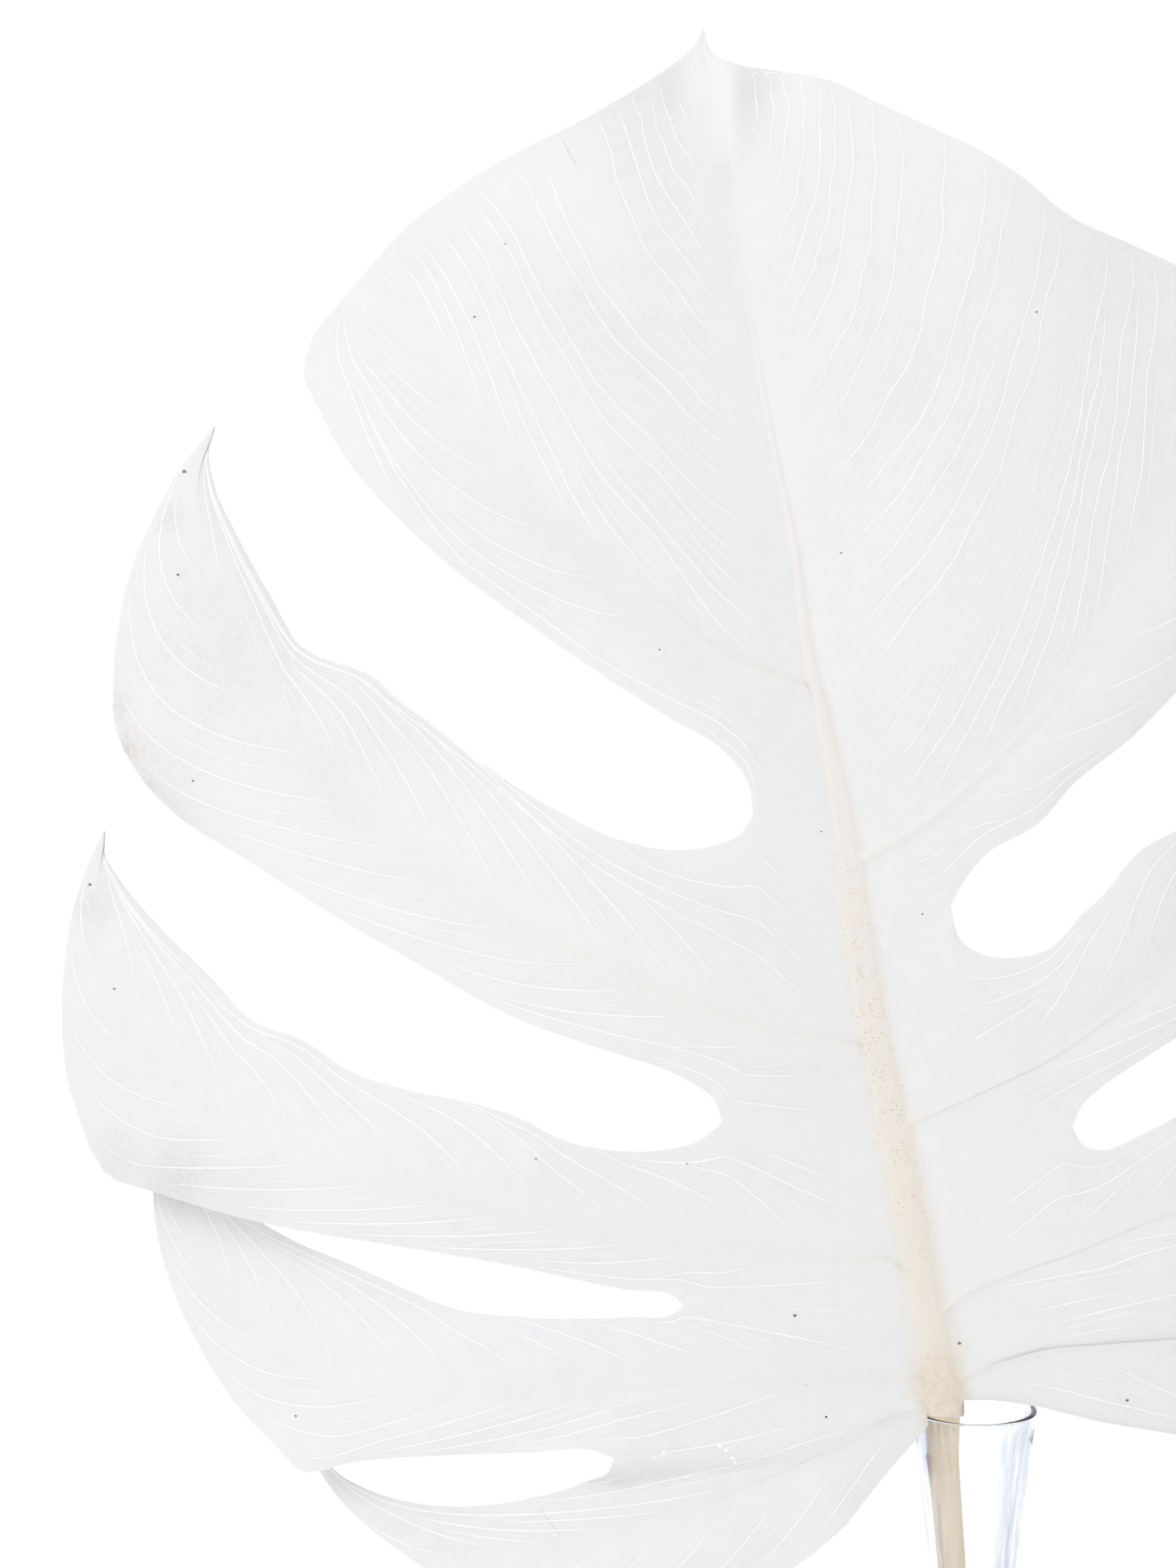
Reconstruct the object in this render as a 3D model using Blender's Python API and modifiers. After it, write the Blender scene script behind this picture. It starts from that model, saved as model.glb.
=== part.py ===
"""A bleached, dried monstera leaf standing in a clear glass bud vase.

Metres, +Z up. The origin is the centre of the vase's flat base, and the vase's axis is Z.
The leaf's upper face looks towards -Y. Its outline is drawn in its own plane, in millimetres
from the foot of the blade: the first number runs to the right, the second up the blade.
"""
import math

import bmesh
import bpy
import numpy as np
from mathutils import Vector

MM = 0.001

# Driving dimensions of the vase, in metres
VASE_HEIGHT = 0.220
MOUTH_RADIUS = 0.0135
MOUTH_TAPER = math.radians(6.5)
STRAIGHT_CONE_DEPTH = 0.034
NECK_RADIUS = 0.0078
FOOT_RADIUS = 0.037
WALL = 0.0017
RIM_WALL = 0.0014
RIM_ROUND = 0.0007
RIM_CROWN = 0.0002
FLOOR_HEIGHT = 0.0135
VASE_STEPS = 48

# Driving dimensions of the leaf
BLADE_FOOT = Vector((-0.0074, -0.0102, 0.2243))
LEAN = math.radians(8.0)
BLADE_THICKNESS = 0.6
BLADE_LENGTH = 295.0
RIB_RISE = 1.7
MIDRIB_RISE = 3.6
MIDRIB_FADES_AT = 262.0
RIB_FLANK = 1.3
FRONT_SHARE = 0.25
QUILTING = 1.4
MARGIN_WAVE = 0.9
CROWN_WAVE = 2.2

# Mesh density of the blade: columns run out along a lobe, rows lie between a rib and an edge
WEB_COLUMNS = 3
LOBE_COLUMNS = 16
MIDRIB_STATIONS = 34
MERGE_MM = 0.01

# Midrib: centre line, and half its width at heights above the foot
LEAF_TIP = (-51.5, BLADE_LENGTH)
MIDRIB = [(0.5, -4), (0, 0), (-2.5, 15), (-6, 31.5), (-9, 48), (-12.5, 65), (-16, 82), (-19, 102),
          (-22, 124), (-26, 145), (-29.5, 160), (-32.5, 183), (-36, 200), (-39, 216), (-42, 235),
          (-45, 255), (-47.5, 275), (-50.6, 285), (-51.9, 291), LEAF_TIP]
MIDRIB_HALF_WIDTH = [(-4, 4.2), (60, 3.7), (100, 3.4), (126, 2.5), (156, 1.5), (198, 0.85),
                     (230, 0.65), (252, 0.4), (BLADE_LENGTH, 0.0)]

# Webs between the lobes: height at which each leaves the midrib, then its way to the cut's end
WEB_L1 = (114, [(-33, 120.5), (-41.5, 125.5)])
WEB_L2 = (52, [(-31, 56), (-48, 60.5)])
WEB_L3 = (16.5, [(-26, 18.5), (-56, 21)])
WEB_L4 = (2.5, [(-34.5, -4.5), (-54.5, -9.5), (-71, -12)])
WEB_R1 = (88.5, [(-6.5, 99.5), (0.5, 106.5)])
WEB_R2 = (40, [(12.5, 50.5), (26.5, 59.5)])
WEB_R3 = (13, [(29.5, 20.5), (56.5, 26.5)])

# Lobes: the margins from the end of a cut out to the lobe's tip, and the rib from the midrib.
# rows gives the rows of the lower and the upper half, set_back how far the tip lies behind.
# curl bends a margin back round (place, width, depth), hem rolls it back from place to place.
LEFT_CROWN = {
    "tip": (-128, 237),
    "rib_from": 153,
    "rib": [(-37.5, 155.5), (-47, 159.5), (-62.5, 172), (-76.5, 183), (-88, 195.5), (-98.5, 209),
            (-108.5, 222.5), (-118.5, 232)],
    "lower_web": WEB_L1,
    "lower": [(-42.5, 132.5), (-48.5, 140), (-59.5, 146.5), (-88, 165.5), (-108, 180.5),
              (-118, 190), (-128, 201.5), (-134.5, 213.5), (-137, 219), (-135.5, 227)],
    "crown": [(-113.5, 253), (-101.5, 262), (-73, 277), (-63, 283.5), (-56.5, 288.5),
              (-53.5, 291.5)],
    "rows": (5, 13),
}
RIGHT_CROWN = {
    "tip": (66, 229),
    "rib_from": 116.5,
    "rib": [(-8, 122), (5, 132.5), (13.5, 141), (25, 154), (32, 164.5), (38.5, 176.5), (48.5, 194),
            (56, 209), (62.5, 220)],
    "lower_web": WEB_R1,
    "lower": [(2.5, 110.5), (8, 117.5), (19, 124), (26.5, 132.5), (38, 141.5), (48, 151.5),
              (58.5, 164.5), (67, 181.5), (72.5, 199), (73.5, 211), (71, 221.5)],
    "crown": [(59, 237.5), (49, 243.5), (39, 248), (26.5, 253.5), (16, 262), (7.5, 267.5),
              (-2.5, 272.5), (-14.5, 278.5), (-23.5, 283), (-37, 286), (-44.5, 287), (-50, 290)],
    "rows": (5, 16),
}
LOBES = {
    "L1": {
        "tip": (-156.5, 209),
        "rib_from": 77,
        "rib": [(-33.5, 79.5), (-51, 84.5), (-64.5, 90), (-76.5, 95.5), (-95, 106), (-113, 120),
                (-128, 132.5), (-145.5, 152.5), (-153.5, 167.5), (-158.5, 184.5), (-160, 198)],
        "upper_web": WEB_L1,
        "upper": [(-44, 122), (-51.5, 119), (-59.5, 118.5), (-69.5, 120.5), (-82.5, 126.5),
                  (-100, 137.5), (-109.5, 145), (-118, 151), (-121.5, 154.5), (-138, 162),
                  (-144.5, 172.5), (-152, 186), (-157, 197), (-158, 204.5)],
        "lower_web": WEB_L2,
        "lower": [(-49.5, 65), (-56.5, 70), (-75, 76.5), (-95, 84), (-110, 92.5), (-128.5, 103),
                  (-152, 117.5), (-165, 125.5), (-174, 135), (-178.5, 144), (-179, 156),
                  (-177.5, 167.5), (-174, 180.5), (-169, 191), (-163, 201.5)],
        "rows": (5, 5),
        "set_back": 3.0,
        "twist": 1.5,
        "corners": {"upper": (-138, 162)},
        "curl": {"lower": (0.62, 0.16, 7.0)},
        "hem": {"upper": (0.66, 1.0, 5.0)},
    },
    "L2": {
        "tip": (-180.5, 122.5),
        "rib_from": 28.5,
        "rib": [(-12, 30.5), (-26, 31.5), (-43, 33.5), (-59.5, 35.5), (-85, 40), (-118.5, 47),
                (-138.5, 54.5), (-152.5, 60.5), (-167, 73), (-177, 88), (-182, 105.5)],
        "upper_web": WEB_L2,
        "upper": [(-53, 56.5), (-61.5, 54.5), (-71.5, 54.5), (-81.5, 56.5), (-91.5, 61.5),
                  (-101.5, 64.5), (-115, 67), (-127.5, 71), (-138.5, 78), (-147.5, 81), (-159, 92),
                  (-169.5, 102), (-177.5, 111.5), (-181, 118)],
        "lower_web": WEB_L3,
        "lower": [(-58, 23), (-68, 24.5), (-93, 29.5), (-118.5, 33.5), (-147.5, 38), (-171, 44),
                  (-181.5, 47.5), (-184.5, 52), (-187, 59), (-189.5, 67.5), (-190.5, 80),
                  (-190, 90), (-187.5, 105.5), (-184.5, 114.5)],
        "rows": (4, 5),
        "set_back": 2.0,
        "twist": 1.0,
        "corners": {"lower": (-182, 48), "upper": (-147.5, 81)},
        "curl": {"lower": (0.60, 0.12, 5.0)},
        "hem": {"upper": (0.66, 1.0, 5.0)},
    },
    "L3": {
        "tip": (-168, 57),
        "rib_from": 5.2,
        "rib": [(-17.5, 5.5), (-34.5, 5), (-51, 4.5), (-76.5, 2), (-93, 1), (-107, 0.5), (-119, 3),
                (-136, 6), (-150, 14.5), (-161, 29.5), (-167.5, 45)],
        "upper_web": WEB_L3,
        "upper": [(-58, 19.5), (-68, 18.5), (-91.5, 18), (-106.5, 19.5), (-115.5, 23), (-129, 28.5),
                  (-139.5, 32.5), (-148, 37), (-158.5, 44.5), (-164.5, 51)],
        "lower_web": WEB_L4,
        "lower": [(-75, -10.5), (-88, -11.5), (-108.5, -13), (-129, -15.5), (-138.5, -18),
                  (-144.5, -12.5), (-153.5, -3.5), (-160.5, 7), (-166.5, 19), (-171, 34.5),
                  (-171.5, 45)],
        "rows": (4, 4),
        "set_back": 12.0,
        "twist": 1.0,
        "corners": {"lower": (-138.5, -18)},
    },
    "L4": {
        "tip": (-138.5, -13),
        "rib_from": -0.5,
        "rib": [(-12.5, -3.5), (-24.5, -10), (-38, -16.5), (-51, -22.5), (-71.5, -30), (-85, -34),
                (-102, -35.5), (-115, -32.5), (-125.5, -27), (-133, -20.5)],
        "upper_web": WEB_L4,
        "upper": [(-72, -15.5), (-78, -19.5), (-86.5, -22.5), (-102, -26), (-114, -26),
                  (-124.5, -23.5), (-131.5, -20)],
        "lower_web": (-2.5, [(-3.5, -4.5), (-6.5, -8.5), (-12.5, -15.5), (-21, -26.5)]),
        "lower": [(-31, -35.5), (-43, -42.5), (-56.5, -47.5), (-73, -50.5), (-88, -49), (-102, -45),
                  (-113.5, -39.5), (-121, -34.5), (-130, -27), (-135, -20.5)],
        "rows": (4, 4),
        "set_back": 20.0,
        "twist": 1.0,
    },
    "R1": {
        "tip": (104.5, 200),
        "rib_from": 60.5,
        "rib": [(-1.5, 63), (8.5, 67.5), (23.5, 75), (32, 81), (40, 86.5), (48.5, 95), (63.5, 109),
                (79.5, 127.5), (92.5, 149), (102, 174.5)],
        "upper_web": WEB_R1,
        "upper": [(2.5, 99.5), (8, 96), (12.5, 95.5), (21.5, 97.5), (28.5, 105), (32, 108),
                  (41, 118.5), (48.5, 122.5), (62, 130.5), (77.5, 145), (90.5, 162.5), (99.5, 183)],
        "lower_web": WEB_R2,
        "lower": [(28.5, 64), (34, 69), (40, 73), (48.5, 78.5), (65.5, 89), (82, 100.5),
                  (98, 115.5), (111, 134), (116, 152.5), (114.5, 172.5), (109.5, 189.5)],
        "rows": (5, 5),
        "set_back": 4.0,
        "twist": 1.5,
        "curl": {"lower": (0.65, 0.15, 5.0)},
    },
    "R2": {
        "tip": (148.5, 144),
        "rib_from": 20.7,
        "rib": [(4, 23.5), (15.5, 28.5), (27, 32.5), (37.5, 37), (49, 41.5), (74.5, 51.5),
                (100, 65), (124.5, 83), (142.5, 110.5)],
        "upper_web": WEB_R2,
        "upper": [(29, 55.5), (33, 54.5), (40.5, 57.5), (48.5, 61.5), (65.5, 71.5), (86, 83.5),
                  (109, 99.5), (126.5, 115.5), (139.5, 130.5)],
        "lower_web": WEB_R3,
        "lower": [(59, 30), (69, 34), (91, 38.5), (117.5, 48.5), (140.5, 61.5), (157, 79.5),
                  (164, 100), (162.5, 120.5), (155, 135.5)],
        "rows": (4, 5),
        "set_back": 6.0,
        "twist": 1.5,
        "curl": {"lower": (0.6, 0.15, 4.0)},
    },
    "R3": {
        "tip": (161.5, 53.5),
        "rib_from": 5.5,
        "rib": [(9, 8), (19.5, 11.5), (33, 13), (49.5, 14), (75.5, 14.5), (101, 15.5),
                (127.5, 21.5), (149, 35)],
        "upper_web": WEB_R3,
        "upper": [(58.5, 23), (66, 21), (83, 22.5), (109.5, 26), (132.5, 34), (151, 43.5)],
        "lower_web": (0.5, [(11, 0.5), (21, -1)]),
        "lower": [(33, -4), (49.5, -7), (66.5, -10.5), (92.5, -16), (119, -17), (140, -7.5),
                  (154.5, 9.5), (162.5, 29.5)],
        "rows": (4, 4),
        "set_back": 9.0,
        "twist": 1.0,
        "hem": {"lower": (-0.2, 0.75, 11.0)},
    },
}
LEFT_ORDER = ["L4", "L3", "L2", "L1"]
RIGHT_ORDER = ["R3", "R2", "R1"]

# Leaf stalk: its centre line from inside the midrib's keel down to the vase's floor, with radii
STALK = [((-0.0103, -0.0052, 0.2413), 0.0019), ((-0.0090, -0.0062, 0.2343), 0.0030),
         ((-0.0079, -0.0066, 0.2285), 0.0036), ((-0.0070, -0.0059, 0.2232), 0.0037),
         ((-0.0063, -0.0041, 0.2170), 0.0036), ((-0.0061, -0.0029, 0.2100), 0.0035),
         ((-0.0055, -0.0018, 0.2010), 0.0033), ((-0.0042, -0.0007, 0.1850), 0.0031),
         ((-0.0027, 0.0000, 0.1600), 0.0029), ((-0.0022, 0.0004, 0.1200), 0.0029),
         ((-0.0014, 0.0006, 0.0700), 0.0029), ((-0.0004, 0.0004, 0.0145), 0.0029)]
STALK_POINTS = 40


def smoothstep(value):
    value = min(1.0, max(0.0, value))
    return value * value * (3.0 - 2.0 * value)


def smooth_path(points, per_span=12):
    """A smooth curve through the points: Hermite spans whose tangents follow the chords."""
    pts = np.array(points, dtype=float)
    chords = np.maximum(np.linalg.norm(np.diff(pts, axis=0), axis=1), 1e-6)
    slopes = np.diff(pts, axis=0) / chords[:, None]
    tangents = np.empty_like(pts)
    tangents[0], tangents[-1] = slopes[0], slopes[-1]
    weight = (chords[:-1] / (chords[:-1] + chords[1:]))[:, None]
    tangents[1:-1] = slopes[:-1] * (1 - weight) + slopes[1:] * weight
    curve = []
    for i, chord in enumerate(chords):
        for t in np.arange(per_span) / per_span:
            curve.append((2 * t**3 - 3 * t**2 + 1) * pts[i] + (t**3 - 2 * t**2 + t) * chord * tangents[i]
                         + (3 * t**2 - 2 * t**3) * pts[i + 1] + (t**3 - t**2) * chord * tangents[i + 1])
    curve.append(pts[-1])
    return np.array(curve)


def along(curve, fractions):
    """Points at the given fractions of a curve's length."""
    steps = np.linalg.norm(np.diff(curve, axis=0), axis=1)
    lengths = np.concatenate([[0.0], np.cumsum(steps)])
    wanted = np.asarray(fractions) * lengths[-1]
    return np.stack([np.interp(wanted, lengths, curve[:, k]) for k in range(curve.shape[1])], axis=1)


MIDRIB_CURVE = smooth_path(MIDRIB)


def midrib_at(height):
    return np.interp(height, MIDRIB_CURVE[:, 1], MIDRIB_CURVE[:, 0])


def midrib_half_width(height):
    heights, widths = zip(*MIDRIB_HALF_WIDTH)
    return np.interp(height, heights, widths)


def midrib_border(height, side):
    """The point of the midrib's edge at a height; side is -1 for left and 1 for right."""
    return np.array([midrib_at(height) + side * midrib_half_width(height), height])


def blade_depth(a, b):
    """The blade's arch, in mm towards the back: bowed out in the middle, falling away outside."""
    height = b / BLADE_LENGTH
    reach = abs(a - midrib_at(min(max(b, 0.0), BLADE_LENGTH)))
    bow = -9.0 * math.sin(math.pi * height) + 4.0 * max(height, 0.0) ** 3
    return bow - 0.09 * reach + 0.001 * reach**2


def rib_rise(fraction):
    return RIB_RISE * max(0.0, 1.0 - fraction / 0.85)


def outward_columns():
    """Fractions of a lobe's length, closer together at the cut's end and at the tip."""
    x = np.arange(LOBE_COLUMNS + 1) / LOBE_COLUMNS
    return 0.35 * x + 0.65 * (0.5 - 0.5 * np.cos(math.pi * x))


def place_on(curve, point):
    """The fraction of a curve's length at its point nearest to the given one."""
    steps = np.linalg.norm(np.diff(curve, axis=0), axis=1)
    lengths = np.concatenate([[0.0], np.cumsum(steps)])
    return lengths[np.argmin(np.linalg.norm(curve - point, axis=1))] / lengths[-1]


def edge_row(lobe, which, side):
    """A lobe's edge: the web from the midrib to the cut's end, then the margin to the tip."""
    start, way = lobe[which + "_web"]
    web_curve = smooth_path([midrib_border(start, side)] + way)
    web_part = along(web_curve, np.arange(WEB_COLUMNS) / WEB_COLUMNS)
    margin = smooth_path([way[-1]] + lobe[which] + [lobe["tip"]])
    columns = outward_columns()
    corner = lobe.get("corners", {}).get(which)
    if corner:
        place = place_on(margin, corner)
        columns[np.argmin(np.abs(columns - place))] = place
    return np.vstack([web_part, along(margin, columns)])


def rib_row(lobe, ends, side):
    """A lobe's rib, with as many columns as its edges, and each column's share of its length."""
    curve = smooth_path([midrib_border(lobe["rib_from"], side)] + lobe["rib"] + [lobe["tip"]])
    length = np.linalg.norm(np.diff(curve, axis=0), axis=1).sum()
    reach = min(abs(end[0] - curve[0][0]) for end in ends)
    knee = min(0.9 * reach / length, 0.5)
    shares = np.concatenate([knee * np.arange(WEB_COLUMNS) / WEB_COLUMNS,
                             knee + (1 - knee) * outward_columns()])
    return along(curve, shares), shares


def row_places(count, height):
    """Places of the rows from the rib, 0, to the edge, 1, with one row close along the rib."""
    flank = min(0.4, RIB_FLANK / max(height, 1e-6))
    return [0.0] + [flank + (1.0 - flank) * k / (count - 1) for k in range(count)]


def half_lobe(rib, shares, edge, count, side, lobe, upper):
    """Rows of points from a rib out to one edge of its lobe, each (a, b, c, rise)."""
    which = "upper" if upper else "lower"
    turn = 1.0 if upper else -1.0
    curl = lobe.get("curl", {}).get(which)
    columns = []
    for k, share in enumerate(shares):
        out = smoothstep((k - WEB_COLUMNS) / LOBE_COLUMNS)
        margin_share = (k - WEB_COLUMNS) / LOBE_COLUMNS
        column = []
        for v in row_places(count, np.linalg.norm(edge[k] - rib[k])):
            foot_height = (1 - v) * rib[0][1] + v * edge[0][1]
            bend = midrib_border(foot_height, side) - ((1 - v) * rib[0] + v * edge[0])
            a, b = (1 - v) * rib[k] + v * edge[k] + (1 - share) * bend
            c = blade_depth(a, b)
            c += out * (lobe.get("set_back", 0.0) + turn * lobe.get("twist", 0.0) * v)
            c -= QUILTING * math.sin(math.pi * v) * math.sin(math.pi * min(share * 1.1, 1.0))
            c += MARGIN_WAVE * out * (1 - out) * 4 * v**2 * math.sin(9.0 * share + 2.0 * turn)
            if curl:
                c += curl[2] * math.exp(-((margin_share - curl[0]) / curl[1]) ** 2) * v**3
            rise = rib_rise(share) if v == 0.0 else 0.0
            column.append((a, b, c, rise))
        columns.append(column)
    rows = [list(row) for row in zip(*columns)]
    hem = lobe.get("hem", {}).get(which)
    if hem:
        rows += hem_rows(rows, hem)
    return rows


def hem_rows(rows, hem):
    """Two more rows where a margin is rolled back behind the blade."""
    start, end, depth = hem
    behind, under = [], []
    for k, (edge, inner) in enumerate(zip(rows[-1], rows[-2])):
        place = ((k - WEB_COLUMNS) / LOBE_COLUMNS - start) / (end - start)
        size = depth * math.sin(math.pi * min(max(place, 0.0), 1.0))
        inward = np.array(inner[:2]) - np.array(edge[:2])
        inward = inward / max(np.linalg.norm(inward), 1e-6)
        behind.append((edge[0], edge[1], edge[2] + 0.5 * size, 0.0))
        a, b = np.array(edge[:2]) + 0.35 * size * inward
        under.append((a, b, edge[2] + 0.95 * size, 0.0))
    return [behind, under]


def crown_half(rib, shares, crown, side):
    """Rows from the uppermost rib up to the leaf's tip, between the midrib and the margin."""
    tip = np.array(LEAF_TIP)
    rib_from = crown["rib_from"]
    count = crown["rows"][1]
    rows = []
    places = [0.0, RIB_FLANK / (BLADE_LENGTH - rib_from)]
    places += [1 - (1 - k / count) ** 1.35 for k in range(1, count + 1)]
    margin = along(smooth_path([crown["tip"]] + crown["crown"] + [LEAF_TIP]), places)
    for v, edge in zip(places, margin):
        height = rib_from + (BLADE_LENGTH - rib_from) * v
        border = midrib_border(height, side)
        row = []
        for share, rib_point in zip(shares, rib):
            corners = (1 - share) * (1 - v) * rib[0] + share * (1 - v) * rib[-1] + v * tip
            a, b = (1 - v) * rib_point + v * tip + (1 - share) * border + share * edge - corners
            c = blade_depth(a, b)
            crest = math.sin(math.pi * min(2.5 * v, 1.0)) * math.sin(math.pi * min(share * 1.1, 1.0))
            c -= QUILTING * crest
            c += CROWN_WAVE * share**3 * math.sin(math.pi * v) * math.sin(8.0 * v + side)
            rise = rib_rise(share) if v == 0.0 else 0.0
            row.append((a, b, c, rise))
        rows.append(row)
    return rows


def side_patches(side, order, crown):
    """All the patches of one half of the blade, from the foot up, each a list of rows."""
    patches = []
    for name in order:
        lobe = LOBES[name]
        lower = edge_row(lobe, "lower", side)
        upper = edge_row(lobe, "upper", side)
        rib, shares = rib_row(lobe, (lower[WEB_COLUMNS], upper[WEB_COLUMNS]), side)
        rows_low, rows_up = lobe["rows"]
        patches.append(half_lobe(rib, shares, lower, rows_low, side, lobe, False)[::-1])
        patches.append(half_lobe(rib, shares, upper, rows_up, side, lobe, True))
    lower = edge_row(crown, "lower", side)
    rib, shares = rib_row(crown, (lower[WEB_COLUMNS],), side)
    patches.append(half_lobe(rib, shares, lower, crown["rows"][0], side, crown, False)[::-1])
    patches.append(crown_half(rib, shares, crown, side))
    return patches


def to_world(a, b, c):
    """From the blade's plane, in mm, to metres: the blade leans back about its foot."""
    up = Vector((0.0, math.sin(LEAN), math.cos(LEAN)))
    back = Vector((0.0, math.cos(LEAN), -math.sin(LEAN)))
    return BLADE_FOOT + Vector((1.0, 0.0, 0.0)) * (a * MM) + up * (b * MM) + back * (c * MM)


class Sheet:
    """The blade's open middle surface, with each point's extra thickness over a rib."""

    def __init__(self):
        self.points = []
        self.rises = []
        self.faces = []

    def add(self, point):
        self.points.append(to_world(*point[:3]))
        self.rises.append(point[3])
        return len(self.points) - 1

    def patch(self, rows):
        """Quads over a grid of rows, split the same way all over; returns the inner column."""
        grid = [[self.add(point) for point in row] for row in rows]
        for low, high in zip(grid, grid[1:]):
            for k in range(len(low) - 1):
                self.faces.append((low[k], low[k + 1], high[k + 1]))
                self.faces.append((low[k], high[k + 1], high[k]))
        return [row[0] for row in grid]

    def stitch(self, line_a, line_b):
        """A strip of triangles between two lines of points that run the same way."""
        i = j = 0
        while i < len(line_a) - 1 or j < len(line_b) - 1:
            step_a = self.points[line_a[min(i + 1, len(line_a) - 1)]].z
            step_b = self.points[line_b[min(j + 1, len(line_b) - 1)]].z
            if j == len(line_b) - 1 or (i < len(line_a) - 1 and step_a <= step_b):
                self.faces.append((line_a[i], line_b[j], line_a[i + 1]))
                i += 1
            else:
                self.faces.append((line_a[i], line_b[j], line_b[j + 1]))
                j += 1


def midrib_points():
    """The midrib's centre line, from the foot to the tip, raised along its keel."""
    heights = -3.0 + (BLADE_LENGTH + 3.0) * np.arange(MIDRIB_STATIONS + 1) / MIDRIB_STATIONS
    points = []
    for height in heights:
        a = float(midrib_at(height))
        fade = min(1.0, max(0.0, 1.0 - height / MIDRIB_FADES_AT))
        points.append((a, height, blade_depth(a, height), MIDRIB_RISE * fade**1.2))
    return points


def blade_sheet():
    sheet = Sheet()
    centre = [sheet.add(point) for point in midrib_points()]
    for side, order, crown in ((-1, LEFT_ORDER, LEFT_CROWN), (1, RIGHT_ORDER, RIGHT_CROWN)):
        border = []
        for rows in side_patches(side, order, crown):
            inner = sheet.patch(rows)
            border += inner if not border else inner[1:]
        sheet.stitch(centre, border)
    return sheet


def make_material(name, colour, roughness, transmission=0.0):
    material = bpy.data.materials.new(name)
    material.use_nodes = True
    shader = material.node_tree.nodes["Principled BSDF"]
    shader.inputs["Base Color"].default_value = (*colour, 1.0)
    shader.inputs["Roughness"].default_value = roughness
    shader.inputs["Metallic"].default_value = 0.0
    shader.inputs["Transmission Weight"].default_value = transmission
    return material


def collection(name):
    made = bpy.data.collections.new(name)
    bpy.context.scene.collection.children.link(made)
    return made


def make_stalk(cutters):
    """The stalk as a tapering tube, closed at both ends, ready to be joined to the blade."""
    centres = smooth_path([centre for centre, radius in STALK])
    stations = np.arange(STALK_POINTS) / (STALK_POINTS - 1)
    places = along(centres, stations)
    knot_heights = [centre[2] for centre, radius in STALK][::-1]
    knot_radii = [radius for centre, radius in STALK][::-1]
    data = bpy.data.curves.new("stalk_line", "CURVE")
    data.dimensions = "3D"
    data.bevel_depth = 1.0
    data.bevel_resolution = 2
    data.use_fill_caps = True
    line = data.splines.new("POLY")
    line.points.add(STALK_POINTS - 1)
    for point, place in zip(line.points, places):
        point.co = (*place, 1.0)
        point.radius = float(np.interp(place[2], knot_heights, knot_radii))
    guide = bpy.data.objects.new("stalk_line", data)
    cutters.objects.link(guide)
    evaluated = guide.evaluated_get(bpy.context.evaluated_depsgraph_get())
    mesh = bpy.data.meshes.new_from_object(evaluated)
    tube = bmesh.new()
    tube.from_mesh(mesh)
    bmesh.ops.remove_doubles(tube, verts=tube.verts, dist=0.00001)
    bmesh.ops.recalc_face_normals(tube, faces=tube.faces)
    tube.to_mesh(mesh)
    tube.free()
    stalk = bpy.data.objects.new("stalk", mesh)
    stalk.matrix_world = guide.matrix_world
    bpy.data.objects.remove(guide)
    cutters.objects.link(stalk)
    stalk.hide_render = True
    stalk.display_type = "WIRE"
    return stalk


def make_leaf(part, cutters):
    """The blade, thickened over its midrib and ribs, and joined to its stalk."""
    sheet = blade_sheet()
    back = Vector((0.0, math.cos(LEAN), -math.sin(LEAN)))
    shift = (1.0 - 2.0 * FRONT_SHARE) / 2.0
    mesh = bpy.data.meshes.new("leaf")
    points = [p + back * (shift * rise * MM) for p, rise in zip(sheet.points, sheet.rises)]
    mesh.from_pydata(points, [], sheet.faces)
    leaf = bpy.data.objects.new("leaf", mesh)
    part.objects.link(leaf)
    thickest = BLADE_THICKNESS + max(sheet.rises)
    thickness = leaf.vertex_groups.new(name="thickness")
    for index, rise in enumerate(sheet.rises):
        thickness.add([index], (BLADE_THICKNESS + rise) / thickest, "REPLACE")
    tidy = bmesh.new()
    tidy.from_mesh(mesh)
    bmesh.ops.remove_doubles(tidy, verts=tidy.verts, dist=MERGE_MM * MM)
    bmesh.ops.dissolve_degenerate(tidy, edges=tidy.edges, dist=MERGE_MM * MM)
    bmesh.ops.recalc_face_normals(tidy, faces=tidy.faces)
    tidy.to_mesh(mesh)
    tidy.free()
    solid = leaf.modifiers.new("thickness", "SOLIDIFY")
    solid.thickness = thickest * MM
    solid.offset = 0.0
    solid.vertex_group = "thickness"
    join = leaf.modifiers.new("stalk", "BOOLEAN")
    join.operation = "UNION"
    join.solver = "EXACT"
    join.object = make_stalk(cutters)
    mesh.materials.append(make_material("bleached_leaf", (0.87, 0.865, 0.85), 0.55))
    mesh.shade_smooth()
    return leaf


def outer_radius(height):
    """The vase's outside above its foot: a slim neck that opens into a straight cone."""
    cone_start = VASE_HEIGHT - STRAIGHT_CONE_DEPTH
    cone_radius = MOUTH_RADIUS - STRAIGHT_CONE_DEPTH * math.tan(MOUTH_TAPER)
    if height >= cone_start:
        return cone_radius + (height - cone_start) * math.tan(MOUTH_TAPER)
    ease_length = 2.0 * (cone_radius - NECK_RADIUS) / math.tan(MOUTH_TAPER)
    place = max(0.0, 1.0 - (cone_start - height) / ease_length)
    return NECK_RADIUS + (cone_radius - NECK_RADIUS) * place**2


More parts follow.
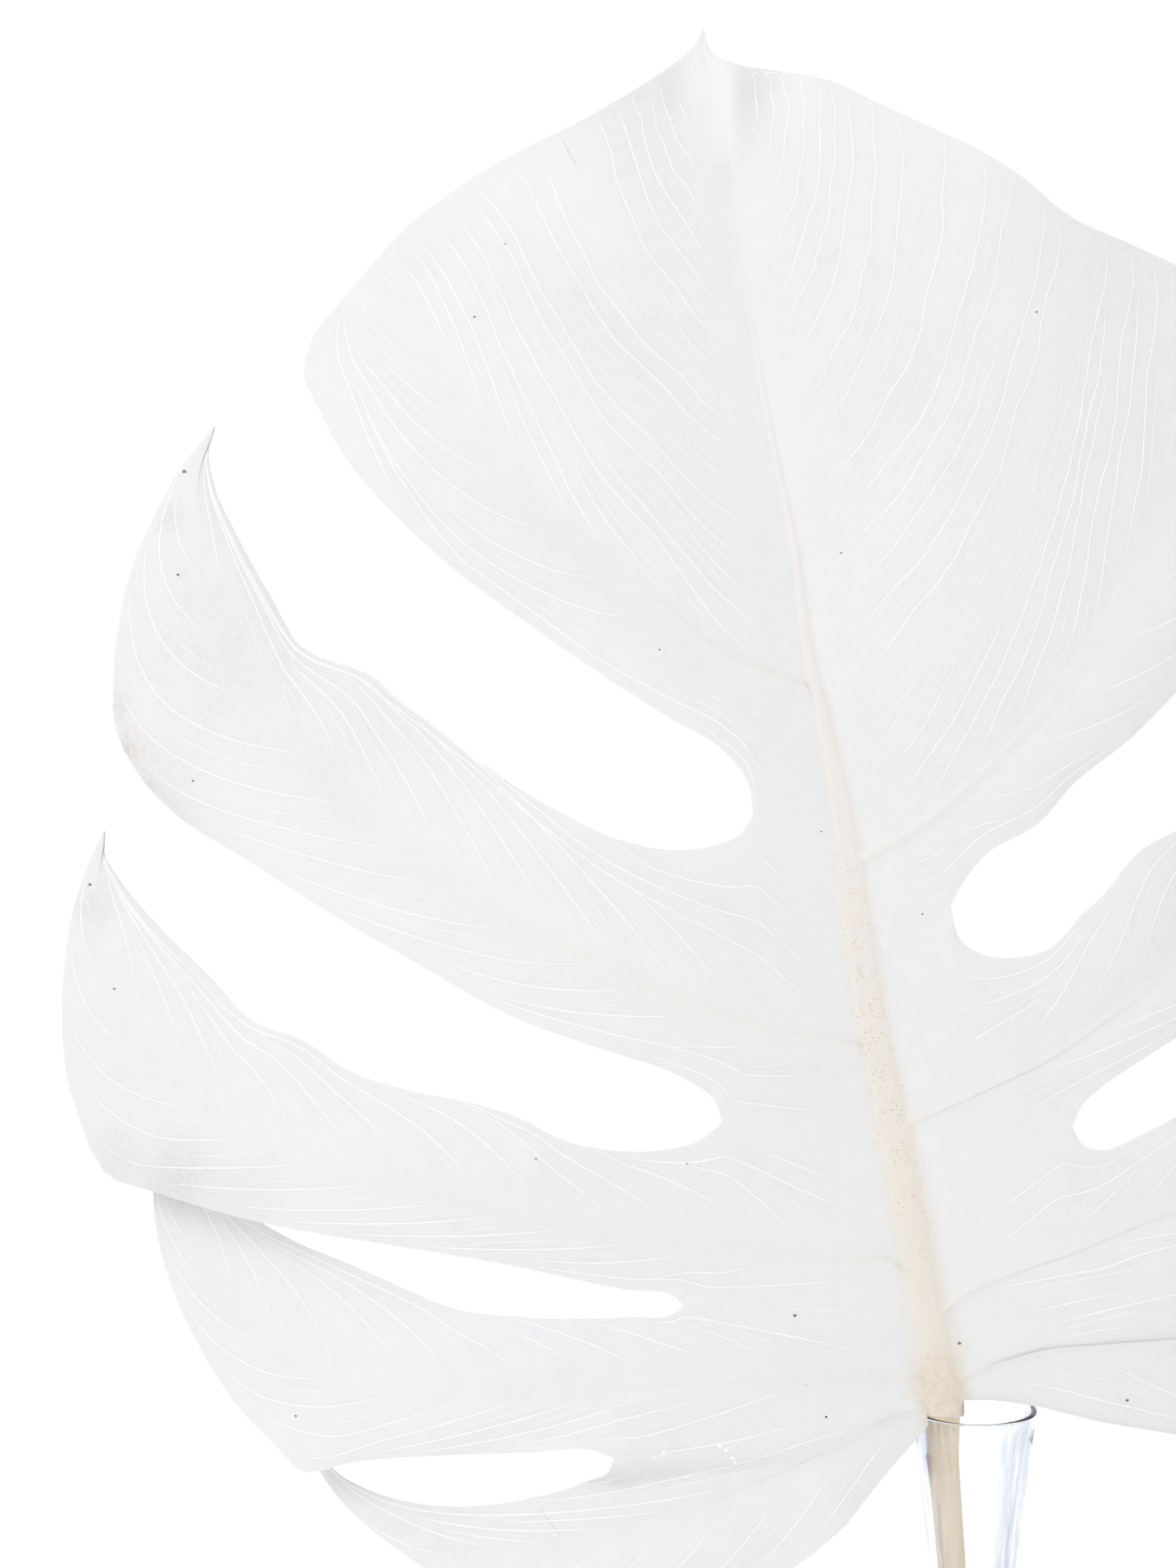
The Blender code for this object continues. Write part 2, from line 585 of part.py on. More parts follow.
def vase_profile():
    """Radius and height from the rim down the outside, over the foot, then up the inside."""
    heights = [VASE_HEIGHT - depth for depth in (RIM_ROUND, 0.012, 0.024, 0.034, 0.044, 0.054, 0.064)]
    outer = [(outer_radius(z), z) for z in heights]
    outer += [(outer_radius(0.110), 0.110), (NECK_RADIUS, 0.050)]
    flare = [(0.0081, 0.036), (0.0090, 0.026), (0.0112, 0.018), (0.0155, 0.0122), (0.0215, 0.0086),
             (0.0285, 0.0063), (FOOT_RADIUS - 0.0022, 0.0050), (FOOT_RADIUS - 0.0006, 0.0042),
             (FOOT_RADIUS, 0.0028), (FOOT_RADIUS - 0.0003, 0.0010), (FOOT_RADIUS - 0.0012, 0.0)]
    inner_heights = [0.0200, 0.050, 0.110] + heights[:0:-1]
    inner = [(0.0, FLOOR_HEIGHT), (0.0038, FLOOR_HEIGHT + 0.0004), (0.0054, FLOOR_HEIGHT + 0.0022)]
    inner += [(outer_radius(max(z, 0.05)) - WALL, z) for z in inner_heights]
    top = outer_radius(VASE_HEIGHT)
    inner += [(top - RIM_WALL, VASE_HEIGHT - RIM_ROUND)]
    rim = [(top - RIM_WALL * 0.75, VASE_HEIGHT - RIM_CROWN), (top - RIM_WALL * 0.5, VASE_HEIGHT),
           (top - RIM_WALL * 0.25, VASE_HEIGHT - RIM_CROWN)]
    return rim[2:] + outer + flare + [(0.0, 0.0)], inner + rim[:2]


def make_vase(part):
    """The vase, turned about Z from one closed line of its wall."""
    outside, inside = vase_profile()
    points = [(radius, 0.0, height) for radius, height in outside + inside]
    mesh = bpy.data.meshes.new("vase")
    loop = [(i, i + 1) for i in range(len(outside) - 1)]
    loop += [(i, i + 1) for i in range(len(outside), len(points) - 1)]
    loop.append((len(points) - 1, 0))
    mesh.from_pydata(points, loop, [])
    vase = bpy.data.objects.new("vase", mesh)
    part.objects.link(vase)
    turn = vase.modifiers.new("turn", "SCREW")
    turn.steps = VASE_STEPS
    turn.render_steps = VASE_STEPS
    turn.use_merge_vertices = True
    turn.merge_threshold = 0.00001
    turn.use_smooth_shade = True
    mesh.materials.append(make_material("clear_glass", (0.93, 0.95, 0.97), 0.03, 1.0))
    return vase


for existing in list(bpy.data.objects):
    bpy.data.objects.remove(existing)
part_collection = collection("monstera_leaf_in_vase")
cutter_collection = collection("cutters")
make_vase(part_collection)
make_leaf(part_collection, cutter_collection)
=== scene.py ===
import math
import random

import bmesh
import bpy
import numpy as np
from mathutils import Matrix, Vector
from mathutils.bvhtree import BVHTree


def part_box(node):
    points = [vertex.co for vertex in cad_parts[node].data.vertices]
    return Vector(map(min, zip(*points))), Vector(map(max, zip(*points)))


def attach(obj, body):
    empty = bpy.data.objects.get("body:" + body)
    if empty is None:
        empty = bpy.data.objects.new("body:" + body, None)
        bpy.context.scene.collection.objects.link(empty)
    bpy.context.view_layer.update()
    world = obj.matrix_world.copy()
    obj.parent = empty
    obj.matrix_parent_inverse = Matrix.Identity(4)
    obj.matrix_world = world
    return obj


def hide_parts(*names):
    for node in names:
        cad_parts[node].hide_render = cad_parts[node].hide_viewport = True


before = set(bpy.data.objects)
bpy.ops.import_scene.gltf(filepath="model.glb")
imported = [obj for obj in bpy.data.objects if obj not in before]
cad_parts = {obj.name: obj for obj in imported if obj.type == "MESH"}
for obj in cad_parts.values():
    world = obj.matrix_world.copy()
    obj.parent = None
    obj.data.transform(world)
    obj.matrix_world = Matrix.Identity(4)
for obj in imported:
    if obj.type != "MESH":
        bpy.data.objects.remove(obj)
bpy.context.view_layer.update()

MM = 0.001


# The vase: one piece of clear glass, blown and turned, with a straight cone for a mouth, a slim
# neck and a round foot under a thick floor. Its rim is fire-polished and stands up a little bead.
VASE_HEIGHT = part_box("vase")[1].z
FOOT_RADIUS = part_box("vase")[1].x
MOUTH_RADIUS = 0.0135
MOUTH_TAPER = math.radians(6.5)
STRAIGHT_CONE_DEPTH = 0.034
NECK_RADIUS = 0.0078
GLASS_WALL = 0.0017
RIM_WALL = 0.0014
RIM_BEAD = 0.00012
FLARE_HEIGHT = 0.054
BORE_BOTTOM = 0.020
WALL_RINGS = 60
GLASS_TURNS = 128
FOOT_FLARE = [(0.0078, 0.050), (0.0081, 0.036), (0.0090, 0.026), (0.0112, 0.018), (0.0155, 0.0122),
              (0.0215, 0.0086), (0.0285, 0.0063), (0.0348, 0.0050), (0.0364, 0.0042)]
FOOT_EDGE = [(0.0002, 0.0036), (0.0, 0.0028), (0.0001, 0.0018), (0.0004, 0.0009), (0.0010, 0.0002),
             (0.0014, 0.0)]
FLOOR_BOWL = [(0.0, 0.0135), (0.0038, 0.0139), (0.0054, 0.0157), (0.0061, 0.0200)]


def smooth_path(points, per_span=12):
    """A smooth curve through the points: Hermite spans whose tangents follow the chords."""
    pts = np.array(points, dtype=float)
    chords = np.maximum(np.linalg.norm(np.diff(pts, axis=0), axis=1), 1e-6)
    slopes = np.diff(pts, axis=0) / chords[:, None]
    tangents = np.empty_like(pts)
    tangents[0], tangents[-1] = slopes[0], slopes[-1]
    weight = (chords[:-1] / (chords[:-1] + chords[1:]))[:, None]
    tangents[1:-1] = slopes[:-1] * (1 - weight) + slopes[1:] * weight
    curve = []
    for i, chord in enumerate(chords):
        for t in np.arange(per_span) / per_span:
            curve.append((2 * t**3 - 3 * t**2 + 1) * pts[i] + (t**3 - 2 * t**2 + t) * chord * tangents[i]
                         + (3 * t**2 - 2 * t**3) * pts[i + 1] + (t**3 - t**2) * chord * tangents[i + 1])
    curve.append(pts[-1])
    return np.array(curve)


def glass_radius(height):
    """The vase's outside above its foot: a slim neck that opens into a straight cone."""
    cone_start = VASE_HEIGHT - STRAIGHT_CONE_DEPTH
    cone_radius = MOUTH_RADIUS - STRAIGHT_CONE_DEPTH * math.tan(MOUTH_TAPER)
    if height >= cone_start:
        return cone_radius + (height - cone_start) * math.tan(MOUTH_TAPER)
    ease_length = 2.0 * (cone_radius - NECK_RADIUS) / math.tan(MOUTH_TAPER)
    place = max(0.0, 1.0 - (cone_start - height) / ease_length)
    return NECK_RADIUS + (cone_radius - NECK_RADIUS) * place**2


def glass_profile():
    """The wall's closed line, as radius and height: over the rim, down, under the foot, up inside."""
    wall_heights = np.linspace(VASE_HEIGHT - RIM_WALL * 0.5, FLARE_HEIGHT, WALL_RINGS)
    outside = [(glass_radius(z), z) for z in wall_heights]
    foot = [tuple(point) for point in smooth_path(FOOT_FLARE, 5)]
    edge = [(FOOT_RADIUS - back, z) for back, z in FOOT_EDGE]
    floor = [tuple(point) for point in smooth_path(FLOOR_BOWL, 6)][:-1]
    bore_heights = np.linspace(BORE_BOTTOM, VASE_HEIGHT - 0.006, WALL_RINGS)
    inside = [(glass_radius(z) - GLASS_WALL, z) for z in bore_heights]
    bore = glass_radius(VASE_HEIGHT) - RIM_WALL
    middle = glass_radius(VASE_HEIGHT) - RIM_WALL * 0.5
    rim = []
    for step in range(1, 12):
        turn = math.pi * step / 12
        swell = 0.5 * RIM_WALL + RIM_BEAD * math.sin(turn)
        rim.append((middle - swell * math.cos(turn), VASE_HEIGHT - 0.5 * RIM_WALL * (1 - math.sin(turn))))
    return outside + foot + edge, [(0.0, 0.0)], floor + inside + [(bore, VASE_HEIGHT - 0.0012)] + rim


class Finish:
    """A material, built up from nodes around its Principled surface."""

    def __init__(self, name):
        self.material = bpy.data.materials.new(name)
        self.material.use_nodes = True
        self.tree = self.material.node_tree
        self.surface = self.tree.nodes["Principled BSDF"]
        self.surface.location = (300, 0)
        self.tree.nodes["Material Output"].location = (900, 0)

    def put(self, socket, value):
        """Sets a socket, or joins it to another node's output."""
        if isinstance(value, bpy.types.NodeSocket):
            self.tree.links.new(value, socket)
        else:
            needs_alpha = socket.type == "RGBA" and len(value) == 3
            socket.default_value = (*value, 1.0) if needs_alpha else value

    def node(self, kind, **inputs):
        node = self.tree.nodes.new(kind)
        number = len(self.tree.nodes)
        node.location = (-200 * (number % 7), 800 - 260 * (number // 7))
        for name, value in inputs.items():
            self.put(node.inputs[name.replace("_", " ")], value)
        return node

    def set(self, **inputs):
        for name, value in inputs.items():
            self.put(self.surface.inputs[name.replace("_", " ")], value)

    def where(self):
        return self.node("ShaderNodeTexCoord").outputs["Object"]

    def noise(self, scale, detail=2.0, roughness=0.5, drawn_out=1.0):
        """Noise fixed to the piece; drawn_out below 1 stretches it along the piece's height."""
        place = self.where()
        if drawn_out != 1.0:
            place = self.node("ShaderNodeMapping", Vector=place, Scale=(1.0, 1.0, drawn_out)).outputs[0]
        return self.node("ShaderNodeTexNoise", Vector=place, Scale=scale, Detail=detail,
                         Roughness=roughness).outputs["Fac"]

    def dots(self, scale, above, size, core):
        """Small round dots in those cells whose own value lies above the given one."""
        cells = self.node("ShaderNodeTexVoronoi", Vector=self.where(), Scale=scale)
        picked = self.figure("GREATER_THAN", cells.outputs["Color"], above)
        return self.figure("MULTIPLY", self.ramp(cells.outputs["Distance"], size, core), picked)

    def mark(self, name):
        """A value that is written on the mesh."""
        node = self.node("ShaderNodeAttribute")
        node.attribute_name = name
        return node.outputs["Fac"]

    def figure(self, operation, *values):
        node = self.node("ShaderNodeMath")
        node.operation = operation
        for socket, value in zip(node.inputs, values):
            self.put(socket, value)
        return node.outputs[0]

    def ramp(self, value, low, high, to_low=0.0, to_high=1.0):
        node = self.node("ShaderNodeMapRange", Value=value, From_Min=low, From_Max=high,
                         To_Min=to_low, To_Max=to_high)
        node.interpolation_type = "SMOOTHSTEP"
        return node.outputs["Result"]

    def lay(self, share, under, over):
        """A colour laid over another by a share from 0 to 1."""
        mix = self.node("ShaderNodeMix")
        mix.data_type = "RGBA"
        for number, value in ((0, share), (6, under), (7, over)):
            self.put(mix.inputs[number], value)
        return mix.outputs[2]

    def bump(self, height, strength, distance):
        bump = self.node("ShaderNodeBump", Height=height, Strength=strength, Distance=distance)
        self.set(Normal=bump.outputs["Normal"])

    def see_light_through(self, colour, share):
        """Lets some of the light behind a thin dried skin come through it."""
        through = self.node("ShaderNodeBsdfTranslucent", Color=colour)
        both = self.node("ShaderNodeMixShader")
        for number, value in ((0, share), (1, self.surface.outputs[0]), (2, through.outputs[0])):
            self.put(both.inputs[number], value)
        self.put(self.tree.nodes["Material Output"].inputs["Surface"], both.outputs[0])


def glass_finish():
    """Clear glass. Where its wall is seen slantwise, its colour is painted grey-blue in vertical
    streaks: a painted reflection of the darker room around it. It has the faint waves and the fine dust of
    a hand-blown piece."""
    glass = Finish("clear_glass")
    # Painted reflection: the grey-blue laid into the colour by slant, in vertical streaks, stands in for
    # dark surroundings seen in the wall.
    slant = glass.node("ShaderNodeLayerWeight", Blend=0.5).outputs["Facing"]
    wall = glass.ramp(slant, 0.05, 0.28, 0.0, 0.62)
    edge = glass.ramp(slant, 0.30, 0.75, 0.0, 0.38)
    reflection_streaks = glass.ramp(glass.noise(600.0, drawn_out=0.03), 0.38, 0.58, 0.15, 1.0)
    thickness = glass.figure("MULTIPLY", glass.figure("ADD", wall, edge), reflection_streaks)
    haze = glass.node("ShaderNodeMapRange", Value=glass.noise(420.0), From_Min=0.35, From_Max=0.8,
                      To_Min=0.004, To_Max=0.03)
    glass.set(Transmission_Weight=1.0, IOR=1.46, Roughness=haze.outputs["Result"],
              Base_Color=glass.lay(thickness, (0.994, 0.997, 1.0), (0.52, 0.575, 0.67)))
    glass.bump(glass.noise(55.0), 0.12, 0.0006)
    return glass.material


def new_piece(name, mesh, finish):
    mesh.materials.append(finish)
    piece = bpy.data.objects.new(name, mesh)
    bpy.context.scene.collection.objects.link(piece)
    return piece


def blow_vase():
    outside, centre, inside = glass_profile()
    points = [(radius, 0.0, height) for radius, height in outside + centre + inside]
    last_outside = len(outside)
    loop = [(i, i + 1) for i in range(last_outside)]
    loop += [(i, i + 1) for i in range(last_outside + 1, len(points) - 1)]
    loop.append((len(points) - 1, 0))
    mesh = bpy.data.meshes.new("glass_vase")
    mesh.from_pydata(points, loop, [])
    vase = new_piece("glass_vase", mesh, glass_finish())
    turn = vase.modifiers.new("turn", "SCREW")
    turn.steps = GLASS_TURNS
    turn.render_steps = GLASS_TURNS
    turn.use_merge_vertices = True
    turn.merge_threshold = 0.000005
    turn.use_smooth_shade = True
    return vase


glass_vase = blow_vase()
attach(glass_vase, "root")
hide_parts("vase")


# The blade: one thin, dried and bleached sheet that grew with its midrib and with a raised rib in
# each lobe. Its plane leans back by 8 degrees. Outlines are in mm from the blade's foot: the first
# number runs to the right, the second up the blade. Depth grows towards the back.
BLADE_FOOT = Vector((-0.0074, -0.0102, 0.2243))
LEAN = math.radians(8.0)
BLADE_UP = Vector((0.0, math.sin(LEAN), math.cos(LEAN)))
BLADE_BACK = Vector((0.0, math.cos(LEAN), -math.sin(LEAN)))
BLADE_THICKNESS = 0.42
BLADE_LENGTH = 295.0
RIB_RISE = 1.7
RIB_HALF_WIDTH = 1.7
RIB_FLAT_AT = 0.85
RIB_FADES_AT = 0.72
MIDRIB_RISE = 3.4
MIDRIB_FADES_AT = 262.0
FRONT_SHARE = 0.25
QUILTING = 1.4
MARGIN_WAVE = 0.9
CROWN_WAVE = 2.2
HEM_INWARD = 0.35
HEM_BACK = 0.95
NARROW = 14.0

# Mesh density: columns run out along a lobe, rows lie between a rib and an edge
WEB_COLUMNS = 12
LOBE_COLUMNS = 62
ROW_SPACING = 2.1
RIB_STEPS = (0.0, 0.4, 0.8, 1.2, 1.8)
HEM_STEPS = 5
MIDRIB_START = -3.0
MIDRIB_STATIONS = 150
MIDRIB_LINES = (0.28, 0.52, 0.72, 0.87)

# Veins lie about VEIN_SPACING apart where they start, and run out towards a row beyond the margin
VEIN_SPACING = 4.0
OUTERMOST_VEIN = 1.22

# Midrib: centre line, and half its width at heights above the foot
LEAF_TIP = (-51.5, BLADE_LENGTH)
MIDRIB = [(0.5, -4), (0, 0), (-2.5, 15), (-6, 31.5), (-9, 48), (-12.5, 65), (-16, 82), (-19, 102),
          (-22, 124), (-26, 145), (-29.5, 160), (-32.5, 183), (-36, 200), (-39, 216), (-42, 235),
          (-45, 255), (-47.5, 275), (-50.6, 285), (-51.9, 291), LEAF_TIP]
MIDRIB_HALF_WIDTH = [(-4, 4.2), (60, 3.7), (100, 3.4), (126, 2.5), (156, 1.5), (198, 0.85),
                     (230, 0.65), (252, 0.4), (BLADE_LENGTH, 0.0)]

# Webs between the lobes: height at which each leaves the midrib, then its way to the cut's end
WEB_L1 = (114, [(-33, 120.5), (-41.5, 125.5)])
WEB_L2 = (52, [(-31, 56), (-48, 60.5)])
WEB_L3 = (16.5, [(-26, 18.5), (-56, 21)])
WEB_L4 = (2.5, [(-34.5, -4.5), (-54.5, -9.5), (-71, -12)])
WEB_R1 = (88.5, [(-6.5, 99.5), (0.5, 106.5)])
WEB_R2 = (40, [(12.5, 50.5), (26.5, 59.5)])
WEB_R3 = (13, [(29.5, 20.5), (56.5, 26.5)])

# Lobes: the margins from the end of a cut out to the lobe's tip, and the rib from the midrib.
# set_back says how far the tip lies behind. curl bends a margin back round (place, width, depth),
# hem rolls it back from place to place, over a band of the given width. L1 to L4 lie on the left
# and R1 to R3 on the right, from the top down.
LEFT_CROWN = {
    "tip": (-128, 237),
    "rib_from": 153,
    "vein_bend": 0.45,
    "rib": [(-37.5, 155.5), (-47, 159.5), (-62.5, 172), (-76.5, 183), (-88, 195.5), (-98.5, 209),
            (-108.5, 222.5), (-118.5, 232)],
    "lower_web": WEB_L1,
    "lower": [(-42.5, 132.5), (-48.5, 140), (-59.5, 146.5), (-88, 165.5), (-108, 180.5), (-118, 190),
              (-128, 201.5), (-134.5, 213.5), (-137, 219), (-135.5, 227)],
    "crown": [(-113.5, 253), (-101.5, 262), (-73, 277), (-63, 283.5), (-56.5, 288.5), (-53.5, 291.5)],
}
RIGHT_CROWN = {
    "tip": (66, 229),
    "rib_from": 116.5,
    "rib": [(-8, 122), (5, 132.5), (13.5, 141), (25, 154), (32, 164.5), (38.5, 176.5), (48.5, 194),
            (56, 209), (62.5, 220)],
    "lower_web": WEB_R1,
    "lower": [(2.5, 110.5), (8, 117.5), (19, 124), (26.5, 132.5), (38, 141.5), (48, 151.5),
              (58.5, 164.5), (67, 181.5), (72.5, 199), (73.5, 211), (71, 221.5)],
    "crown": [(59, 237.5), (49, 243.5), (39, 248), (26.5, 253.5), (16, 262), (7.5, 267.5), (-2.5, 272.5),
              (-14.5, 278.5), (-23.5, 283), (-37, 286), (-44.5, 287), (-50, 290)],
}
L1 = {
    "tip": (-156.5, 209),
    "rib_from": 77,
    "rib": [(-33.5, 79.5), (-51, 84.5), (-64.5, 90), (-76.5, 95.5), (-95, 106), (-113, 120),
            (-128, 132.5), (-145.5, 152.5), (-153.5, 167.5), (-158.5, 184.5), (-160, 198)],
    "upper_web": WEB_L1,
    "upper": [(-44, 122), (-51.5, 119), (-59.5, 118.5), (-69.5, 120.5), (-82.5, 126.5), (-100, 137.5),
              (-109.5, 145), (-118, 151), (-121.5, 154.5), (-138, 162), (-144.5, 172.5), (-152, 186),
              (-157, 197), (-158, 204.5)],
    "lower_web": WEB_L2,
    "lower": [(-49.5, 65), (-56.5, 70), (-75, 76.5), (-95, 84), (-110, 92.5), (-128.5, 103),
              (-152, 117.5), (-165, 125.5), (-174, 135), (-178.5, 144), (-179, 156), (-177.5, 167.5),
              (-174, 180.5), (-169, 191), (-163, 201.5)],
    "set_back": 3.0,
    "twist": 1.5,
    "corners": {"upper": (-138, 162)},
    "curl": {"lower": (0.62, 0.16, 7.0)},
    "hem": {"upper": (0.66, 1.0, 5.0, 5.0)},
}
L2 = {
    "tip": (-180.5, 122.5),
    "rib_from": 28.5,
    "rib": [(-12, 30.5), (-26, 31.5), (-43, 33.5), (-59.5, 35.5), (-85, 40), (-118.5, 47),
            (-138.5, 54.5), (-152.5, 60.5), (-167, 73), (-177, 88), (-182, 105.5)],
    "upper_web": WEB_L2,
    "upper": [(-53, 56.5), (-61.5, 54.5), (-71.5, 54.5), (-81.5, 56.5), (-91.5, 61.5), (-101.5, 64.5),
              (-115, 67), (-127.5, 71), (-138.5, 78), (-147.5, 81), (-159, 92), (-169.5, 102),
              (-177.5, 111.5), (-181, 118)],
    "lower_web": WEB_L3,
    "lower": [(-58, 23), (-68, 24.5), (-93, 29.5), (-118.5, 33.5), (-147.5, 38), (-171, 44),
              (-181.5, 47.5), (-184.5, 52), (-187, 59), (-189.5, 67.5), (-190.5, 80), (-190, 90),
              (-187.5, 105.5), (-184.5, 114.5)],
    "set_back": 2.0,
    "twist": 1.0,
    "corners": {"lower": (-182, 48), "upper": (-147.5, 81)},
    "curl": {"lower": (0.60, 0.12, 5.0)},
    "hem": {"upper": (0.66, 1.0, 5.0, 4.5)},
}
L3 = {
    "tip": (-168, 57),
    "rib_from": 5.2,
    "rib": [(-17.5, 5.5), (-34.5, 5), (-51, 4.5), (-76.5, 2), (-93, 1), (-107, 0.5), (-119, 3),
            (-136, 6), (-150, 14.5), (-161, 29.5), (-167.5, 45)],
    "upper_web": WEB_L3,
    "upper": [(-58, 19.5), (-68, 18.5), (-91.5, 18), (-106.5, 19.5), (-115.5, 23), (-129, 28.5),
              (-139.5, 32.5), (-148, 37), (-158.5, 44.5), (-164.5, 51)],
    "lower_web": WEB_L4,
    "lower": [(-75, -10.5), (-88, -11.5), (-108.5, -13), (-129, -15.5), (-138.5, -18), (-144.5, -12.5),
              (-153.5, -3.5), (-160.5, 7), (-166.5, 19), (-171, 34.5), (-171.5, 45)],
    "set_back": 12.0,
    "twist": 1.0,
    "corners": {"lower": (-138.5, -18)},
}
L4 = {
    "tip": (-138.5, -13),
    "rib_from": -0.5,
    "rib": [(-12.5, -3.5), (-24.5, -10), (-38, -16.5), (-51, -22.5), (-71.5, -30), (-85, -34),
            (-102, -35.5), (-115, -32.5), (-125.5, -27), (-133, -20.5)],
    "upper_web": WEB_L4,
    "upper": [(-72, -15.5), (-78, -19.5), (-86.5, -22.5), (-102, -26), (-114, -26), (-124.5, -23.5),
              (-131.5, -20)],
    "lower_web": (-2.5, [(-3.5, -4.5), (-6.5, -8.5), (-12.5, -15.5), (-21, -26.5)]),
    "lower": [(-31, -35.5), (-43, -42.5), (-56.5, -47.5), (-73, -50.5), (-88, -49), (-102, -45),
              (-113.5, -39.5), (-121, -34.5), (-130, -27), (-135, -20.5)],
    "set_back": 20.0,
    "twist": 1.0,
}
R1 = {
    "tip": (104.5, 200),
    "rib_from": 60.5,
    "rib": [(-1.5, 63), (8.5, 67.5), (23.5, 75), (32, 81), (40, 86.5), (48.5, 95), (63.5, 109),
            (79.5, 127.5), (92.5, 149), (102, 174.5)],
    "upper_web": WEB_R1,
    "upper": [(2.5, 99.5), (8, 96), (12.5, 95.5), (21.5, 97.5), (28.5, 105), (32, 108), (41, 118.5),
              (48.5, 122.5), (62, 130.5), (77.5, 145), (90.5, 162.5), (99.5, 183)],
    "lower_web": WEB_R2,
    "lower": [(28.5, 64), (34, 69), (40, 73), (48.5, 78.5), (65.5, 89), (82, 100.5), (98, 115.5),
              (111, 134), (116, 152.5), (114.5, 172.5), (109.5, 189.5)],
    "set_back": 4.0,
    "twist": 1.5,
    "curl": {"lower": (0.65, 0.15, 5.0)},
}
R2 = {
    "tip": (148.5, 144),
    "rib_from": 20.7,
    "rib": [(4, 23.5), (15.5, 28.5), (27, 32.5), (37.5, 37), (49, 41.5), (74.5, 51.5), (100, 65),
            (124.5, 83), (142.5, 110.5)],
    "upper_web": WEB_R2,
    "upper": [(29, 55.5), (33, 54.5), (40.5, 57.5), (48.5, 61.5), (65.5, 71.5), (86, 83.5), (109, 99.5),
              (126.5, 115.5), (139.5, 130.5)],
    "lower_web": WEB_R3,
    "lower": [(59, 30), (69, 34), (91, 38.5), (117.5, 48.5), (140.5, 61.5), (157, 79.5), (164, 100),
              (162.5, 120.5), (155, 135.5)],
    "set_back": 6.0,
    "twist": 1.5,
    "curl": {"lower": (0.6, 0.15, 4.0)},
}
R3 = {
    "tip": (161.5, 53.5),
    "rib_from": 5.5,
    "rib": [(9, 8), (19.5, 11.5), (33, 13), (49.5, 14), (75.5, 14.5), (101, 15.5), (127.5, 21.5),
            (149, 35)],
    "upper_web": WEB_R3,
    "upper": [(58.5, 23), (66, 21), (83, 22.5), (109.5, 26), (132.5, 34), (151, 43.5)],
    "lower_web": (0.5, [(11, 0.5), (21, -1)]),
    "lower": [(33, -4), (49.5, -7), (66.5, -10.5), (92.5, -16), (119, -17), (140, -7.5), (154.5, 9.5),
              (162.5, 29.5)],
    "set_back": 9.0,
    "twist": 1.0,
    "hem": {"lower": (-0.2, 0.75, 11.0, 4.0)},
}
LEFT_LOBES = [L4, L3, L2, L1]
RIGHT_LOBES = [R3, R2, R1]

# Brownish stains and painted shade: place on the blade, how far each spreads, and how strong it is.
# The small, strong ones along the margins are the leaf's own stains. The broad, weak ones over the outer
# parts of L1 and L2, and the soft ones at L2's lower corner, are brownish tint and painted shade in one,
# darkening parts that turn away from the light.
STAINS_AND_SHADE = [(-161, 160, 27, 0.24), (-168, 138, 16, 0.24), (-180, 70, 20, 0.10), (-166, 189, 4, 0.35),
          (-183, 106, 4, 0.35), (-178, 148, 3.5, 0.7), (-176, 140, 3.5, 0.85), (-172, 133, 3.5, 0.8),
          (-166, 127, 4, 0.5), (-178, 52, 7, 0.34), (-165, 47, 9, 0.46), (-150, 43, 9, 0.22),
          (-131, 136, 14, 0.16), (-47.5, 262, 4, 0.14)]

# Small creases under the leaf's tip: how deep, place, and spread to the side and up
CREASES = [(1.6, (-36.0, 281.0), (6.0, 9.0)), (-1.1, (-45.5, 279.0), (3.2, 12.0)),
           (0.9, (-56.0, 283.0), (4.0, 7.0))]


def smoothstep(value):
    value = np.clip(value, 0.0, 1.0)
    return value * value * (3.0 - 2.0 * value)


def lengths_along(curve):
    steps = np.linalg.norm(np.diff(curve, axis=0), axis=1)
    return np.concatenate([[0.0], np.cumsum(steps)])


def along(curve, fractions):
    """Points at the given fractions of a curve's length."""
    lengths = lengths_along(curve)
    wanted = np.asarray(fractions) * lengths[-1]
    return np.stack([np.interp(wanted, lengths, curve[:, k]) for k in range(curve.shape[1])], axis=-1)


def place_on(curve, point):
    """The fraction of a curve's length at its point nearest to the given one."""
    lengths = lengths_along(curve)
    return lengths[np.argmin(np.linalg.norm(curve - point, axis=1))] / lengths[-1]


MIDRIB_CURVE = smooth_path(MIDRIB)


def midrib_at(height):
    return np.interp(height, MIDRIB_CURVE[:, 1], MIDRIB_CURVE[:, 0])


def midrib_half_width(height):
    heights, widths = zip(*MIDRIB_HALF_WIDTH)
    return np.interp(height, heights, widths)


def midrib_border(height, side):
    """Points of the midrib's edge at some heights; side is -1 for left and 1 for right."""
    height = np.asarray(height, dtype=float)
    return np.stack([midrib_at(height) + side * midrib_half_width(height), height], axis=-1)


def blade_depth(a, b):
    """The blade's arch, in mm towards the back, with the small creases under the leaf's tip."""
    height = b / BLADE_LENGTH
    reach = np.abs(a - midrib_at(np.clip(b, 0.0, BLADE_LENGTH)))
    bow = -9.0 * np.sin(math.pi * height) + 4.0 * np.maximum(height, 0.0) ** 3
    crease = 0.0
    for depth, (x, y), (wide, high) in CREASES:
        crease = crease + depth * np.exp(-((a - x) / wide) ** 2 - ((b - y) / high) ** 2)
    return bow - 0.09 * reach + 0.001 * reach**2 + crease


def outward_columns():
    """Fractions of a lobe's length, closer together at the cut's end and at the tip."""
    x = np.arange(LOBE_COLUMNS + 1) / LOBE_COLUMNS
    return 0.35 * x + 0.65 * (0.5 - 0.5 * np.cos(math.pi * x))


